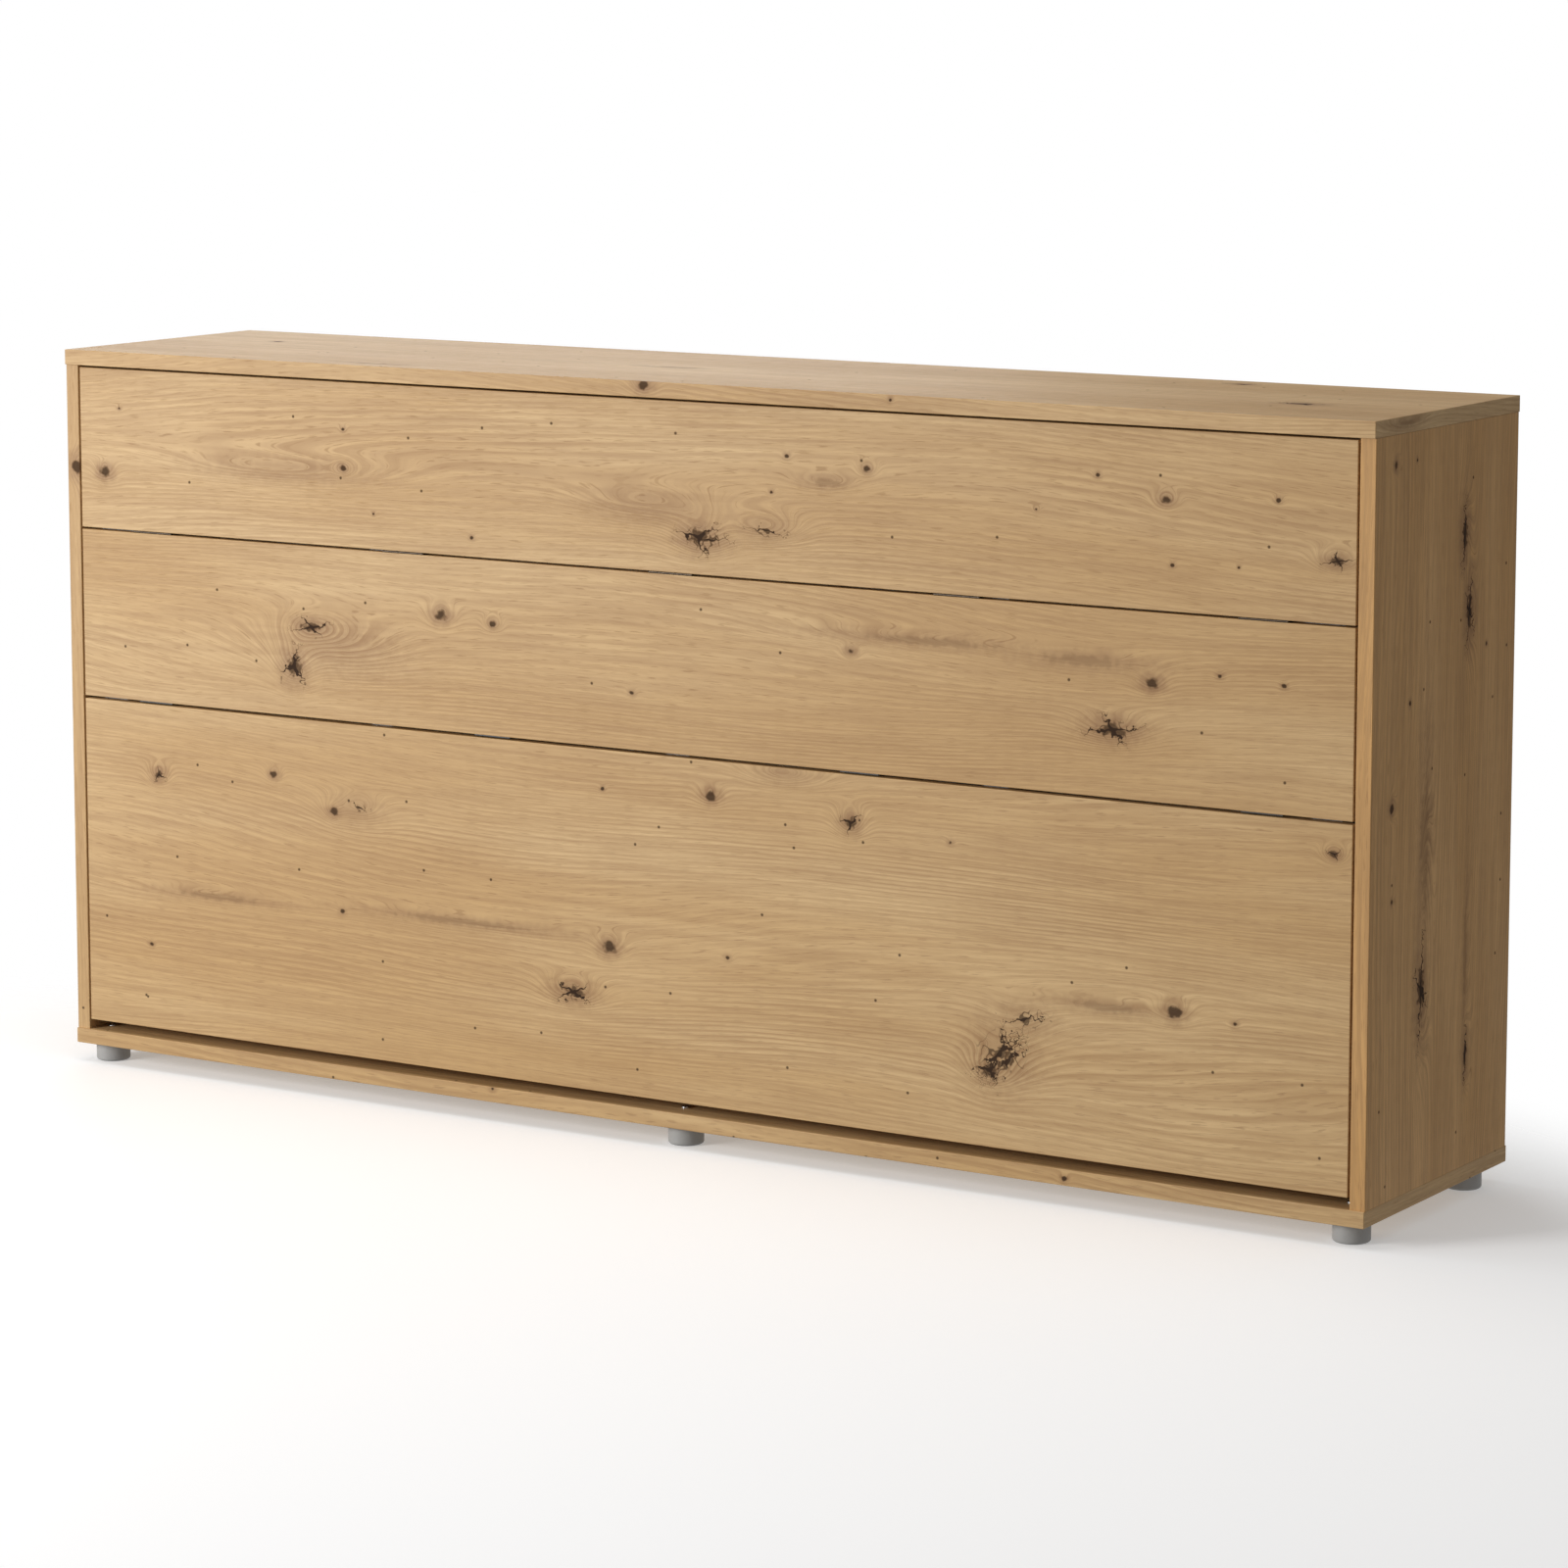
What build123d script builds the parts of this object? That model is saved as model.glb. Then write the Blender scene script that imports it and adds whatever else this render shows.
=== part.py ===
"""Horizontal wall bed: a shallow cabinet whose front folds down into a bed.

Frame: millimetres, +Z up, X along the bed, front towards -Y.  The origin is on the floor, under
the middle of the cabinet.  Everything is drawn with the bed closed.
"""

import os
from math import atan2, degrees, hypot, pi

from build123d import *

os.makedirs("parts", exist_ok=True)

# --- driving dimensions -------------------------------------------------------------------------

# mattress
mattress_length = 2000
mattress_width = 900
mattress_thickness = 180
mattress_corner = 25
mattress_wall = 16
mattress_end_gap = 3
mattress_side_gap = 14

# cabinet
body_depth = 436
board = 22
board_edge_radius = 1
side_setback = 3
side_gap = 3
top_gap = 3
bottom_gap = 15
back_panel = 3
back_panel_inset = 6
groove_depth = 8
groove_clearance = 0.2
strip_width = 30
strip_wall = 1.2
wall_rail_thickness = 18
wall_rail_height = 100
wall_hole_d = 8
wall_hole_span = 1800
wall_hole_rise = 60
foot_height = 28
foot_d = 50
foot_edge_radius = 4
foot_from_end = 36
foot_from_front = 40
foot_from_back = 58
cam_d = 15
cam_depth = 12.5
cam_from_edge = 34
cam_from_front = 60
cam_slot = 2
cam_slot_length = 10.5
cam_bolt_d = 7
cam_bolt_bite = 11

# front boards and fold-out leg
front_board = 18
leg_board_thickness = 16
upper_front_height = 234
leg_height = 246.5
leg_hinge_seam = 3
leg_foot_seam = 4
glide_height = 2.5
glide_width = 10
glide_length = 60
glide_count = 4
leg_floor_gap = 0.5

# leg hinges
hinge_count = 5
hinge_from_end = 130
hinge_length = 70
knuckle_seam_gap = 0.2
knuckle_count = 5
knuckle_gap = 0.3
hinge_pin_d = 1.2
leaf = 0.8
leaf_depth = 14

# steel straps up the back of the leg, whose heels stop it at a right angle to the bed
strap_iron_width = 30
strap_iron = 3
heel_lift = 38
strap_iron_foot = 225
joggle_low = 22
joggle_high = 10
lug_length = 18
lug_height = 12
magnet_height = 24
magnet_width = 16
magnet_depth = 9

# steel bed frame
tube_depth = 25
tube_width = 40
tube_wall = 2
tube_corner = 3
cross_tube_count = 3
end_plate = 4
end_plate_depth = 90
end_plate_corner = 12
rail_board = 16
rail_board_depth = 120
lower_lip = 5
upper_lip = 4

# slats
slat_width = 53
slat_thickness = 8
slat_arch = 6
slat_pitch = 140
slat_from_end = 90
slat_space = 22
slat_mattress_gap = 2
cap_width = 65
cap_height = 30
cap_clearance = 0.3
cap_end_wall = 4

# straps that hold the mattress
strap_width = 40
strap_thickness = 2
strap_gap = 1
strap_from_middle = 560

# pivots and gas springs
pivot_setback = 60
pivot_d = 12
collar_d = 20
bush_d = 18
bush_flange_d = 26
bush_flange = 2
running_clearance = 0.05
body_clearance = 0.3
bracket_plate = 3
pivot_plate_width = 76
pivot_plate_height = 80
spring_plate = 60
plate_corner = 12
spring_d = 18
spring_side_gap = 4
spring_wall = 1.4
spring_eye_d = 17
spring_eye_width = 10
spring_stud_d = 8
spring_stud_collar_d = 13
socket_depth = 4
spring_rod_d = 8
spring_cylinder_length = 342
spring_end_wall = 5
spring_eye_overlap = 1
piston_length = 12
piston_rest_gap = 6
spring_fixed_y = 120
spring_fixed_z = 400
spring_moving_y = 15
spring_moving_z = -160
clip_d = 14
clip_thickness = 1

# stops for the closed bed
stop_from_top = 74
stop_height = 40
stop_depth = 40
stop_pad = 3.7

# screws
screw_d = 4
screw_head_d = 8
screw_head = 2.5
screw_bite = 12
screw_clearance = 0.1
screw_end_gap = 1
drill_length = 60
cut_past = 1
foot_screw_d = 6
foot_screw_head_d = 13
foot_screw_head = 2
foot_screw_bite = 18

# --- levels that follow from them ---------------------------------------------------------------

# along X, on the +X side
mattress_end = mattress_length / 2
plate_in = mattress_end + mattress_end_gap
plate_out = plate_in + end_plate
spring_x = plate_out + spring_side_gap + spring_d / 2
side_in = spring_x + spring_d / 2 + spring_side_gap
side_out = side_in + board
side_middle = side_in + board / 2
front_end = side_in - side_gap
bracket_in = side_in - bracket_plate

# along Z
bottom_low = foot_height
bottom_high = bottom_low + board
front_low = bottom_high + bottom_gap
lower_rail_board_low = front_low + lower_lip
lower_rail_low = lower_rail_board_low + rail_board
lower_rail_high = lower_rail_low + tube_width
mattress_low = lower_rail_low + mattress_side_gap
mattress_high = mattress_low + mattress_width
upper_rail_high = mattress_high + mattress_side_gap
upper_rail_low = upper_rail_high - tube_width
upper_rail_board_high = upper_rail_high + rail_board
front_high = upper_rail_board_high + upper_lip
top_low = front_high + top_gap
top_high = top_low + board
upper_front_low = front_high - upper_front_height
leg_high = upper_front_low - leg_hinge_seam
leg_low = leg_high - leg_height
lower_front_high = leg_low - leg_foot_seam
mattress_middle = (mattress_low + mattress_high) / 2

# along Y
body_front = -body_depth / 2
body_back = body_depth / 2
face = body_front + side_setback
side_back = body_back - side_setback
panel_back = side_back - back_panel_inset
panel_front = panel_back - back_panel
frame_front = face + front_board
frame_back = frame_front + tube_depth
leg_back = face + leg_board_thickness
mattress_front = frame_back + slat_space
mattress_back = mattress_front + mattress_thickness
plate_rear = frame_front + end_plate_depth
rail_board_rear = frame_front + rail_board_depth

# leg hinge axis, bed pivot and gas spring ends, as (y, z)
knuckle_d = leg_hinge_seam - 2 * knuckle_seam_gap
leg_axis_y = face + knuckle_d / 2
leg_axis_z = leg_high + leg_hinge_seam / 2
glide_low = leg_low - glide_height
leg_reach = leg_axis_z - glide_low
pivot_y = frame_front + pivot_setback
pivot_z = leg_reach + leg_floor_gap + pivot_y - leg_axis_y
fixed_y = pivot_y + spring_fixed_y
fixed_z = pivot_z + spring_fixed_z
moving_y = pivot_y + spring_moving_y
moving_z = pivot_z + spring_moving_z

# the gas spring closed, and with the bed turned a quarter down
closed_length = hypot(moving_y - fixed_y, moving_z - fixed_z)
open_moving_y = pivot_y - spring_moving_z
open_moving_z = pivot_z + spring_moving_y
open_length = hypot(open_moving_y - fixed_y, open_moving_z - fixed_z)
spring_stroke = closed_length - open_length
closed_angle = atan2(moving_y - fixed_y, fixed_z - moving_z)
open_angle = atan2(open_moving_y - fixed_y, fixed_z - open_moving_z)
spring_swing = degrees(open_angle - closed_angle)
spring_bore_d = spring_d - 2 * spring_wall
screw_bore_d = screw_d + 2 * screw_clearance

# repeated places
foot_x = [-(side_out - foot_from_end), 0, side_out - foot_from_end]
foot_front_y = body_front + foot_from_front
foot_rear_y = body_back - foot_from_back
cam_y = [body_front + cam_from_front, body_back - cam_from_front]
cross_pitch = 2 * plate_in / (cross_tube_count + 1)
cross_x = [cross_pitch * (i + 1) - plate_in for i in range(cross_tube_count)]
slat_count = int((mattress_length - 2 * slat_from_end) // slat_pitch) + 1
slat_x = [slat_pitch * (i - (slat_count - 1) / 2) for i in range(slat_count)]
hinge_pitch = 2 * (front_end - hinge_from_end) / (hinge_count - 1)
hinge_x = [hinge_pitch * i - (front_end - hinge_from_end) for i in range(hinge_count)]
glide_pitch = 2 * (front_end - hinge_from_end) / (glide_count - 1)
glide_x = [glide_pitch * i - (front_end - hinge_from_end) for i in range(glide_count)]
end_tube_x = plate_in - tube_width / 2
strap_iron_offset = (tube_width + strap_iron_width) / 2
strap_iron_x = [sign * (x - strap_iron_offset) for sign in (-1, 1) for x in (cross_x[-1], end_tube_x)]
slat_crown = mattress_front - slat_mattress_gap
slat_end_back = slat_crown - slat_arch
slat_end_front = slat_end_back - slat_thickness
lower_cap_low = lower_rail_low + (tube_width - cap_height) / 2
upper_cap_low = upper_rail_low + (tube_width - cap_height) / 2
slat_low = lower_cap_low + cap_end_wall
slat_high = upper_cap_low + cap_height - cap_end_wall
stop_z = front_high - stop_from_top
pivot_hole_dy = pivot_plate_width / 2 - plate_corner
pivot_hole_dz = pivot_plate_height / 2 - plate_corner
spring_hole = spring_plate / 2 - plate_corner
pivot_holes = [
    (pivot_y + dy, pivot_z + dz)
    for dy in (-pivot_hole_dy, pivot_hole_dy)
    for dz in (-pivot_hole_dz, pivot_hole_dz)
]
pivot_place = [(pivot_y, pivot_z)]
fixed_place = [(fixed_y, fixed_z)]
moving_place = [(moving_y, moving_z)]
spring_holes = [
    (fixed_y + dy, fixed_z + dz)
    for dy in (-spring_hole, spring_hole)
    for dz in (-spring_hole, spring_hole)
]
stop_hole_y = plate_rear + stop_pad + stop_depth / 2 + bracket_plate
stop_holes = [(stop_hole_y, stop_z - stop_height / 4), (stop_hole_y, stop_z + stop_height / 4)]
bracket_holes = pivot_holes + spring_holes + stop_holes
slat_gap_x = [x + slat_pitch / 2 for x in slat_x[:-1]]
third = len(slat_gap_x) // 3
rail_screw_x = [slat_gap_x[0], slat_gap_x[third], slat_gap_x[-1 - third], slat_gap_x[-1]]
upright_x = [-end_tube_x, *cross_x, end_tube_x]
upright_screw_z = [lower_front_high - tube_width, upper_front_low + tube_width]
front_screws_at = [(x, lower_rail_low + tube_width / 2) for x in rail_screw_x]
front_screws_at += [(x, upper_rail_low + tube_width / 2) for x in rail_screw_x]
front_screws_at += [(x, z) for x in upright_x for z in upright_screw_z]


# --- helpers ------------------------------------------------------------------------------------

def block(x, y, z, mode=Mode.ADD):
    """Add a box to the open part, from the (low, high) pairs of its three sides."""
    with Locations(((x[0] + x[1]) / 2, (y[0] + y[1]) / 2, (z[0] + z[1]) / 2)):
        Box(x[1] - x[0], y[1] - y[0], z[1] - z[0], mode=mode)


def span(sign, near, far):
    """Return the (low, high) pair of X for a piece that runs from near to far on one side."""
    return (min(sign * near, sign * far), max(sign * near, sign * far))


def round_bar(plane, places, diameter, length, mode=Mode.ADD):
    """Add round bars of one size that stand on a plane at its local (x, y) places."""
    with BuildSketch(plane) as rounds:
        with Locations(*places):
            Circle(diameter / 2)
    extrude(rounds.sketch, amount=length, mode=mode)


def countersunk(sign, places):
    """Drill countersunk screw holes through a bracket's plate at its (y, z) places."""
    for y, z in places:
        with Locations(Plane((sign * bracket_in, y, z), x_dir=(0, 1, 0), z_dir=(-sign, 0, 0))):
            CounterSinkHole(screw_bore_d / 2, screw_head_d / 2 + screw_clearance, bracket_plate)


def save(piece, label):
    """Label a finished part and write its STEP file."""
    piece.part.label = label
    export_step(piece.part, f"parts/{label}.step")


# --- cabinet boards -----------------------------------------------------------------------------

groove_y = (panel_front - groove_clearance, panel_back + groove_clearance)
groove_x = (-(side_in + groove_depth), side_in + groove_depth)
cam_places = [(sign * side_middle, y) for sign in (-1, 1) for y in cam_y]
foot_places = [(x, y) for y in (foot_front_y, foot_rear_y) for x in foot_x]
foot_bore_d = foot_screw_d + 2 * screw_clearance

with BuildPart() as bottom_board:
    block((-side_out, side_out), (body_front, body_back), (bottom_low, bottom_high))
    fillet(bottom_board.edges(), board_edge_radius)
    block(groove_x, groove_y, (bottom_high - groove_depth, bottom_high), Mode.SUBTRACT)
    cam_bolt_low = Plane.XY.offset(bottom_high - cam_bolt_bite)
    round_bar(cam_bolt_low, cam_places, cam_bolt_d, cam_bolt_bite, Mode.SUBTRACT)
    round_bar(Plane.XY.offset(bottom_low), foot_places, foot_bore_d, board, Mode.SUBTRACT)
save(bottom_board, "bottom_board")

with BuildPart() as top_board:
    block((-side_out, side_out), (body_front, body_back), (top_low, top_high))
    fillet(top_board.edges(), board_edge_radius)
    block(groove_x, groove_y, (top_low, top_low + groove_depth), Mode.SUBTRACT)
    round_bar(Plane.XY.offset(top_low), cam_places, cam_bolt_d, cam_bolt_bite, Mode.SUBTRACT)
save(top_board, "top_board")

cam_z = [bottom_high + cam_from_edge, top_low - cam_from_edge]
for side, sign in (("left", -1), ("right", 1)):
    with BuildPart() as side_board:
        block(span(sign, side_in, side_out), (face, side_back), (bottom_high, top_low))
        fillet(side_board.edges().filter_by(Axis.Z), board_edge_radius)
        block(span(sign, side_in, side_in + groove_depth), groove_y, (bottom_high, top_low), Mode.SUBTRACT)
        inner_face = Plane.YZ.offset(sign * side_in)
        cam_centres = [(y, z) for y in cam_y for z in cam_z]
        round_bar(inner_face, cam_centres, cam_d + 2 * screw_clearance, sign * cam_depth, Mode.SUBTRACT)
        bolt_places = [(sign * side_middle, y) for y in cam_y]
        round_bar(Plane.XY.offset(bottom_high), bolt_places, cam_bolt_d, cam_from_edge, Mode.SUBTRACT)
        round_bar(Plane.XY.offset(cam_z[1]), bolt_places, cam_bolt_d, cam_from_edge, Mode.SUBTRACT)
        round_bar(inner_face, bracket_holes, screw_bore_d, sign * screw_bite, Mode.SUBTRACT)
    save(side_board, f"{side}_side_board")

with BuildPart() as cam_locks:
    for sign in (-1, 1):
        for y in cam_y:
            for z in cam_z:
                with BuildSketch(Plane.YZ.offset(sign * side_in)):
                    with Locations((y, z)):
                        Circle(cam_d / 2)
                        SlotOverall(cam_slot_length, cam_slot, mode=Mode.SUBTRACT)
                extrude(amount=sign * cam_slot)
                with BuildSketch(Plane.YZ.offset(sign * (side_in + cam_slot))):
                    with Locations((y, z)):
                        Circle(cam_d / 2)
                extrude(amount=sign * (cam_depth - cam_slot))
save(cam_locks, "cam_locks")

# --- cabinet back -------------------------------------------------------------------------------

panel_end = side_in + groove_depth - groove_clearance
panel_z = (bottom_high - groove_depth + groove_clearance, top_low + groove_depth - groove_clearance)
wall_hole_z = top_low - wall_rail_height / 2
wall_places = [(x, z) for x in (-wall_hole_span / 2, wall_hole_span / 2)
               for z in (wall_hole_z - wall_hole_rise / 2, wall_hole_z + wall_hole_rise / 2)]
strip_web = strip_wall / 2 + groove_clearance

for side, sign in (("left", -1), ("right", 1)):
    with BuildPart() as back_half:
        block(span(sign, strip_web, panel_end), (panel_front, panel_back), panel_z)
        wall_side = [(x, z) for x, z in wall_places if x * sign > 0]
        for x, z in wall_side:
            with Locations(Plane((x, panel_front, z), x_dir=(1, 0, 0), z_dir=(0, 1, 0))):
                Cylinder(wall_hole_d / 2, drill_length, mode=Mode.SUBTRACT)
    save(back_half, f"back_panel_{side}")

with BuildPart() as back_strip:
    strip_z = (bottom_high, top_low)
    wall_rail_low = top_low - wall_rail_height
    front_strip_z = (bottom_high, wall_rail_low - body_clearance)
    half_strip = strip_width / 2
    web_y = (panel_front - strip_wall, panel_back + strip_wall)
    block((-strip_wall / 2, strip_wall / 2), web_y, front_strip_z)
    block((-strip_wall / 2, strip_wall / 2), (panel_front, panel_back + strip_wall), strip_z)
    block((-half_strip, half_strip), (panel_back, panel_back + strip_wall), strip_z)
    block((-half_strip, half_strip), (panel_front - strip_wall, panel_front), front_strip_z)
save(back_strip, "back_panel_strip")

with BuildPart() as wall_rail:
    rail_y = (panel_front - wall_rail_thickness, panel_front)
    block((-side_in, side_in), rail_y, (wall_rail_low, top_low))
    for x, z in wall_places:
        with Locations(Plane((x, panel_front, z), x_dir=(1, 0, 0), z_dir=(0, 1, 0))):
            Cylinder(wall_hole_d / 2, drill_length, mode=Mode.SUBTRACT)
save(wall_rail, "wall_rail")

# --- feet ---------------------------------------------------------------------------------------

for row, foot_y in (("front", foot_front_y), ("rear", foot_rear_y)):
    for place, x in zip(("left", "middle", "right"), foot_x):
        with BuildPart() as foot:
            round_bar(Plane.XY, [(x, foot_y)], foot_d, foot_height)
            fillet(foot.edges().group_by(Axis.Z)[0], foot_edge_radius)
            fillet(foot.edges().group_by(Axis.Z)[-1], board_edge_radius)
            bore_low = Plane.XY.offset(foot_height - foot_screw_bite - screw_end_gap)
            round_bar(bore_low, [(x, foot_y)], foot_bore_d, foot_screw_bite + screw_end_gap, Mode.SUBTRACT)
        save(foot, f"foot_{row}_{place}")

with BuildPart() as foot_screws:
    shank = board + foot_screw_bite
    round_bar(Plane.XY.offset(bottom_high - shank), foot_places, foot_screw_d, shank)
    round_bar(Plane.XY.offset(bottom_high), foot_places, foot_screw_head_d, foot_screw_head)
    fillet(foot_screws.edges().group_by(Axis.Z)[-1], board_edge_radius)
save(foot_screws, "foot_screws")

# --- brackets on the cabinet sides --------------------------------------------------------------

stud_end = plate_in - body_clearance
eye_near = spring_x - spring_eye_width / 2
eye_far = spring_x + spring_eye_width / 2
stop_front = plate_rear + body_clearance + stop_pad
stop_in = plate_in - body_clearance

for side, sign in (("left", -1), ("right", 1)):
    with BuildPart() as pivot_bracket:
        with BuildSketch(Plane.YZ.offset(sign * bracket_in)):
            with Locations((pivot_y, pivot_z)):
                RectangleRounded(pivot_plate_width, pivot_plate_height, plate_corner)
        extrude(amount=sign * bracket_plate)
        collar_end = plate_out + bush_flange + body_clearance
        collar_length = sign * (bracket_in - collar_end)
        round_bar(Plane.YZ.offset(sign * collar_end), pivot_place, collar_d, collar_length)
        round_bar(Plane.YZ.offset(sign * stud_end), pivot_place, pivot_d, sign * (bracket_in - stud_end))
        countersunk(sign, pivot_holes)
    save(pivot_bracket, f"{side}_pivot_bracket")

    with BuildPart() as spring_bracket:
        with BuildSketch(Plane.YZ.offset(sign * bracket_in)):
            with Locations((fixed_y, fixed_z)):
                RectangleRounded(spring_plate, spring_plate, plate_corner)
        extrude(amount=sign * bracket_plate)
        spacer_at = eye_far + body_clearance
        spacer = sign * (bracket_in - spacer_at)
        round_bar(Plane.YZ.offset(sign * spacer_at), fixed_place, spring_stud_collar_d, spacer)
        stud_tip = eye_near - body_clearance - 2 * clip_thickness
        stud = sign * (bracket_in - stud_tip)
        round_bar(Plane.YZ.offset(sign * stud_tip), fixed_place, spring_stud_d, stud)
        countersunk(sign, spring_holes)
    save(spring_bracket, f"{side}_spring_bracket")

    with BuildPart() as stop_bracket:
        stop_zs = (stop_z - stop_height / 2, stop_z + stop_height / 2)
        block(span(sign, bracket_in, side_in), (stop_front, stop_front + stop_depth), stop_zs)
        block(span(sign, stop_in, side_in), (stop_front, stop_front + bracket_plate), stop_zs)
        countersunk(sign, stop_holes)
    save(stop_bracket, f"{side}_stop_bracket")

with BuildPart() as stop_pads:
    for sign in (-1, 1):
        pad_z = (stop_z - stop_height / 2 + bracket_plate, stop_z + stop_height / 2 - bracket_plate)
        block(span(sign, stop_in, bracket_in - bracket_plate), (stop_front - stop_pad, stop_front), pad_z)
save(stop_pads, "stop_pads")

with BuildPart() as spring_clips:
    for sign in (-1, 1):
        clip_at = sign * (eye_near - body_clearance)
        with BuildSketch(Plane.YZ.offset(clip_at)):
            with Locations((fixed_y, fixed_z)):
                Circle(clip_d / 2)
                Circle(spring_stud_d / 2 + screw_clearance, mode=Mode.SUBTRACT)
        extrude(amount=-sign * clip_thickness)
save(spring_clips, "spring_clips")

with BuildPart() as bracket_screws:
    head_slope = (screw_head_d - screw_d) / 2
    for sign in (-1, 1):
        for y, z in bracket_holes:
            start = sign * bracket_in
            with BuildSketch(Plane.YZ.offset(start)):
                with Locations((y, z)):
                    Circle(screw_head_d / 2)
            with BuildSketch(Plane.YZ.offset(start + sign * head_slope)):
                with Locations((y, z)):
                    Circle(screw_d / 2)
            loft()
            shank = sign * (bracket_plate + screw_bite - screw_end_gap - head_slope)
            round_bar(Plane.YZ.offset(start + sign * head_slope), [(y, z)], screw_d, shank)
save(bracket_screws, "bracket_screws")

# --- front boards -------------------------------------------------------------------------------

front_bore = Plane.XZ.offset(-frame_front)
front_x = (-front_end, front_end)

with BuildPart() as upper_front_board:
    block(front_x, (face, frame_front), (upper_front_low, front_high))
    fillet(upper_front_board.edges(), board_edge_radius)
    upper_places = [(x, z) for x, z in front_screws_at if z > upper_front_low]
    round_bar(front_bore, upper_places, screw_bore_d, screw_bite, Mode.SUBTRACT)
save(upper_front_board, "upper_front_board")

with BuildPart() as lower_front_board:
    block(front_x, (face, frame_front), (front_low, lower_front_high))
    fillet(lower_front_board.edges(), board_edge_radius)
    lower_places = [(x, z) for x, z in front_screws_at if z < lower_front_high]
    round_bar(front_bore, lower_places, screw_bore_d, screw_bite, Mode.SUBTRACT)
save(lower_front_board, "lower_front_board")

# --- steel bed frame ----------------------------------------------------------------------------

screw_head_back = frame_back + screw_head


def tube(run, across, places):
    """Add a box-section tube, along X or Z, drilled through from front to back at (x, z) places."""
    along_x = run == "x"
    plane = Plane.YZ.offset(across[0][0]) if along_x else Plane.XY.offset(across[1][0])
    middle = sum(across[1]) / 2 if along_x else sum(across[0]) / 2
    depth_middle = (frame_front + frame_back) / 2
    with BuildSketch(plane) as section:
        with Locations((depth_middle, middle) if along_x else (middle, depth_middle)):
            size = (tube_depth, tube_width) if along_x else (tube_width, tube_depth)
            RectangleRounded(*size, tube_corner)
            hollow = [side - 2 * tube_wall for side in size]
            RectangleRounded(*hollow, tube_corner - tube_wall, mode=Mode.SUBTRACT)
    length = across[0][1] - across[0][0] if along_x else across[1][1] - across[1][0]
    extrude(section.sketch, amount=length)
    round_bar(Plane.XZ.offset(-frame_back), places, screw_bore_d, tube_depth, Mode.SUBTRACT)


rail_x = (-plate_in, plate_in)
for label, low in (("lower", lower_rail_low), ("upper", upper_rail_low)):
    with BuildPart() as rail_tube:
        holes = [(x, z) for x, z in front_screws_at if low < z < low + tube_width]
        tube("x", (rail_x, (low, low + tube_width)), holes)
    save(rail_tube, f"{label}_rail_tube")

upright_labels = [
    "left_end_tube",
    "left_cross_tube",
    "middle_cross_tube",
    "right_cross_tube",
    "right_end_tube",
]
for label, x in zip(upright_labels, upright_x):
    with BuildPart() as upright:
        across = ((x - tube_width / 2, x + tube_width / 2), (lower_rail_high, upper_rail_low))
        tube("z", across, [(x, z) for z in upright_screw_z])
    save(upright, label)

with BuildPart() as front_screws:
    for x, z in front_screws_at:
        round_bar(Plane.XZ.offset(-screw_head_back), [(x, z)], screw_head_d, screw_head)
        shank = screw_head + tube_depth + screw_bite - screw_end_gap
        round_bar(Plane.XZ.offset(-screw_head_back), [(x, z)], screw_d, shank)
save(front_screws, "front_screws")

for side, sign in (("left", -1), ("right", 1)):
    with BuildPart() as plate:
        plate_low = lower_rail_board_low
        plate_height = upper_rail_board_high - plate_low
        with BuildSketch(Plane.YZ.offset(sign * plate_in)) as plate_outline:
            with Locations(((frame_front + plate_rear) / 2, plate_low + plate_height / 2)):
                Rectangle(end_plate_depth, plate_height)
            fillet(plate_outline.vertices().group_by(Axis.Y)[-1], end_plate_corner)
            with Locations((pivot_y, pivot_z)):
                Circle(bush_d / 2 + screw_clearance, mode=Mode.SUBTRACT)
            with Locations((moving_y, moving_z)):
                Circle(spring_stud_d / 2 + screw_clearance, mode=Mode.SUBTRACT)
        extrude(amount=sign * end_plate)
    save(plate, f"{side}_end_plate")

    with BuildPart() as bush:
        bush_base = Plane.YZ.offset(sign * plate_in)
        bush_length = sign * (end_plate + bush_flange)
        bush_bore_d = pivot_d + 2 * running_clearance
        round_bar(bush_base, pivot_place, bush_d, sign * end_plate)
        round_bar(Plane.YZ.offset(sign * plate_out), pivot_place, bush_flange_d, sign * bush_flange)
        round_bar(bush_base, pivot_place, bush_bore_d, bush_length, Mode.SUBTRACT)
    save(bush, f"{side}_pivot_bush")

    with BuildPart() as moving_stud:
        stud_length = eye_near - body_clearance - plate_in
        round_bar(Plane.YZ.offset(sign * plate_in), moving_place, spring_stud_d, sign * stud_length)
        round_bar(Plane.YZ.offset(sign * plate_out), moving_place, spring_stud_collar_d, sign * bush_flange)
    save(moving_stud, f"{side}_spring_stud")

for label, low in (("lower", lower_rail_board_low), ("upper", upper_rail_high)):
    with BuildPart() as rail_board_piece:
        block(rail_x, (frame_front, rail_board_rear), (low, low + rail_board))
        fillet(rail_board_piece.edges().filter_by(Axis.X), board_edge_radius)
    save(rail_board_piece, f"{label}_rail_board")

# --- slats --------------------------------------------------------------------------------------

with BuildPart() as slats:
    for x in slat_x:
        with BuildSketch(Plane.YZ.offset(x - slat_width / 2)):
            with BuildLine():
                corners = [
                    (slat_end_front, slat_low),
                    (slat_end_back, slat_low),
                    (slat_end_back, slat_high),
                    (slat_end_front, slat_high),
                ]
                Line(corners[0], corners[1])
                ThreePointArc(corners[1], (slat_crown, mattress_middle), corners[2])
                Line(corners[2], corners[3])
                crown_front = slat_crown - slat_thickness
                ThreePointArc(corners[3], (crown_front, mattress_middle), corners[0])
            make_face()
        extrude(amount=slat_width)
save(slats, "slats")

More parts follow.
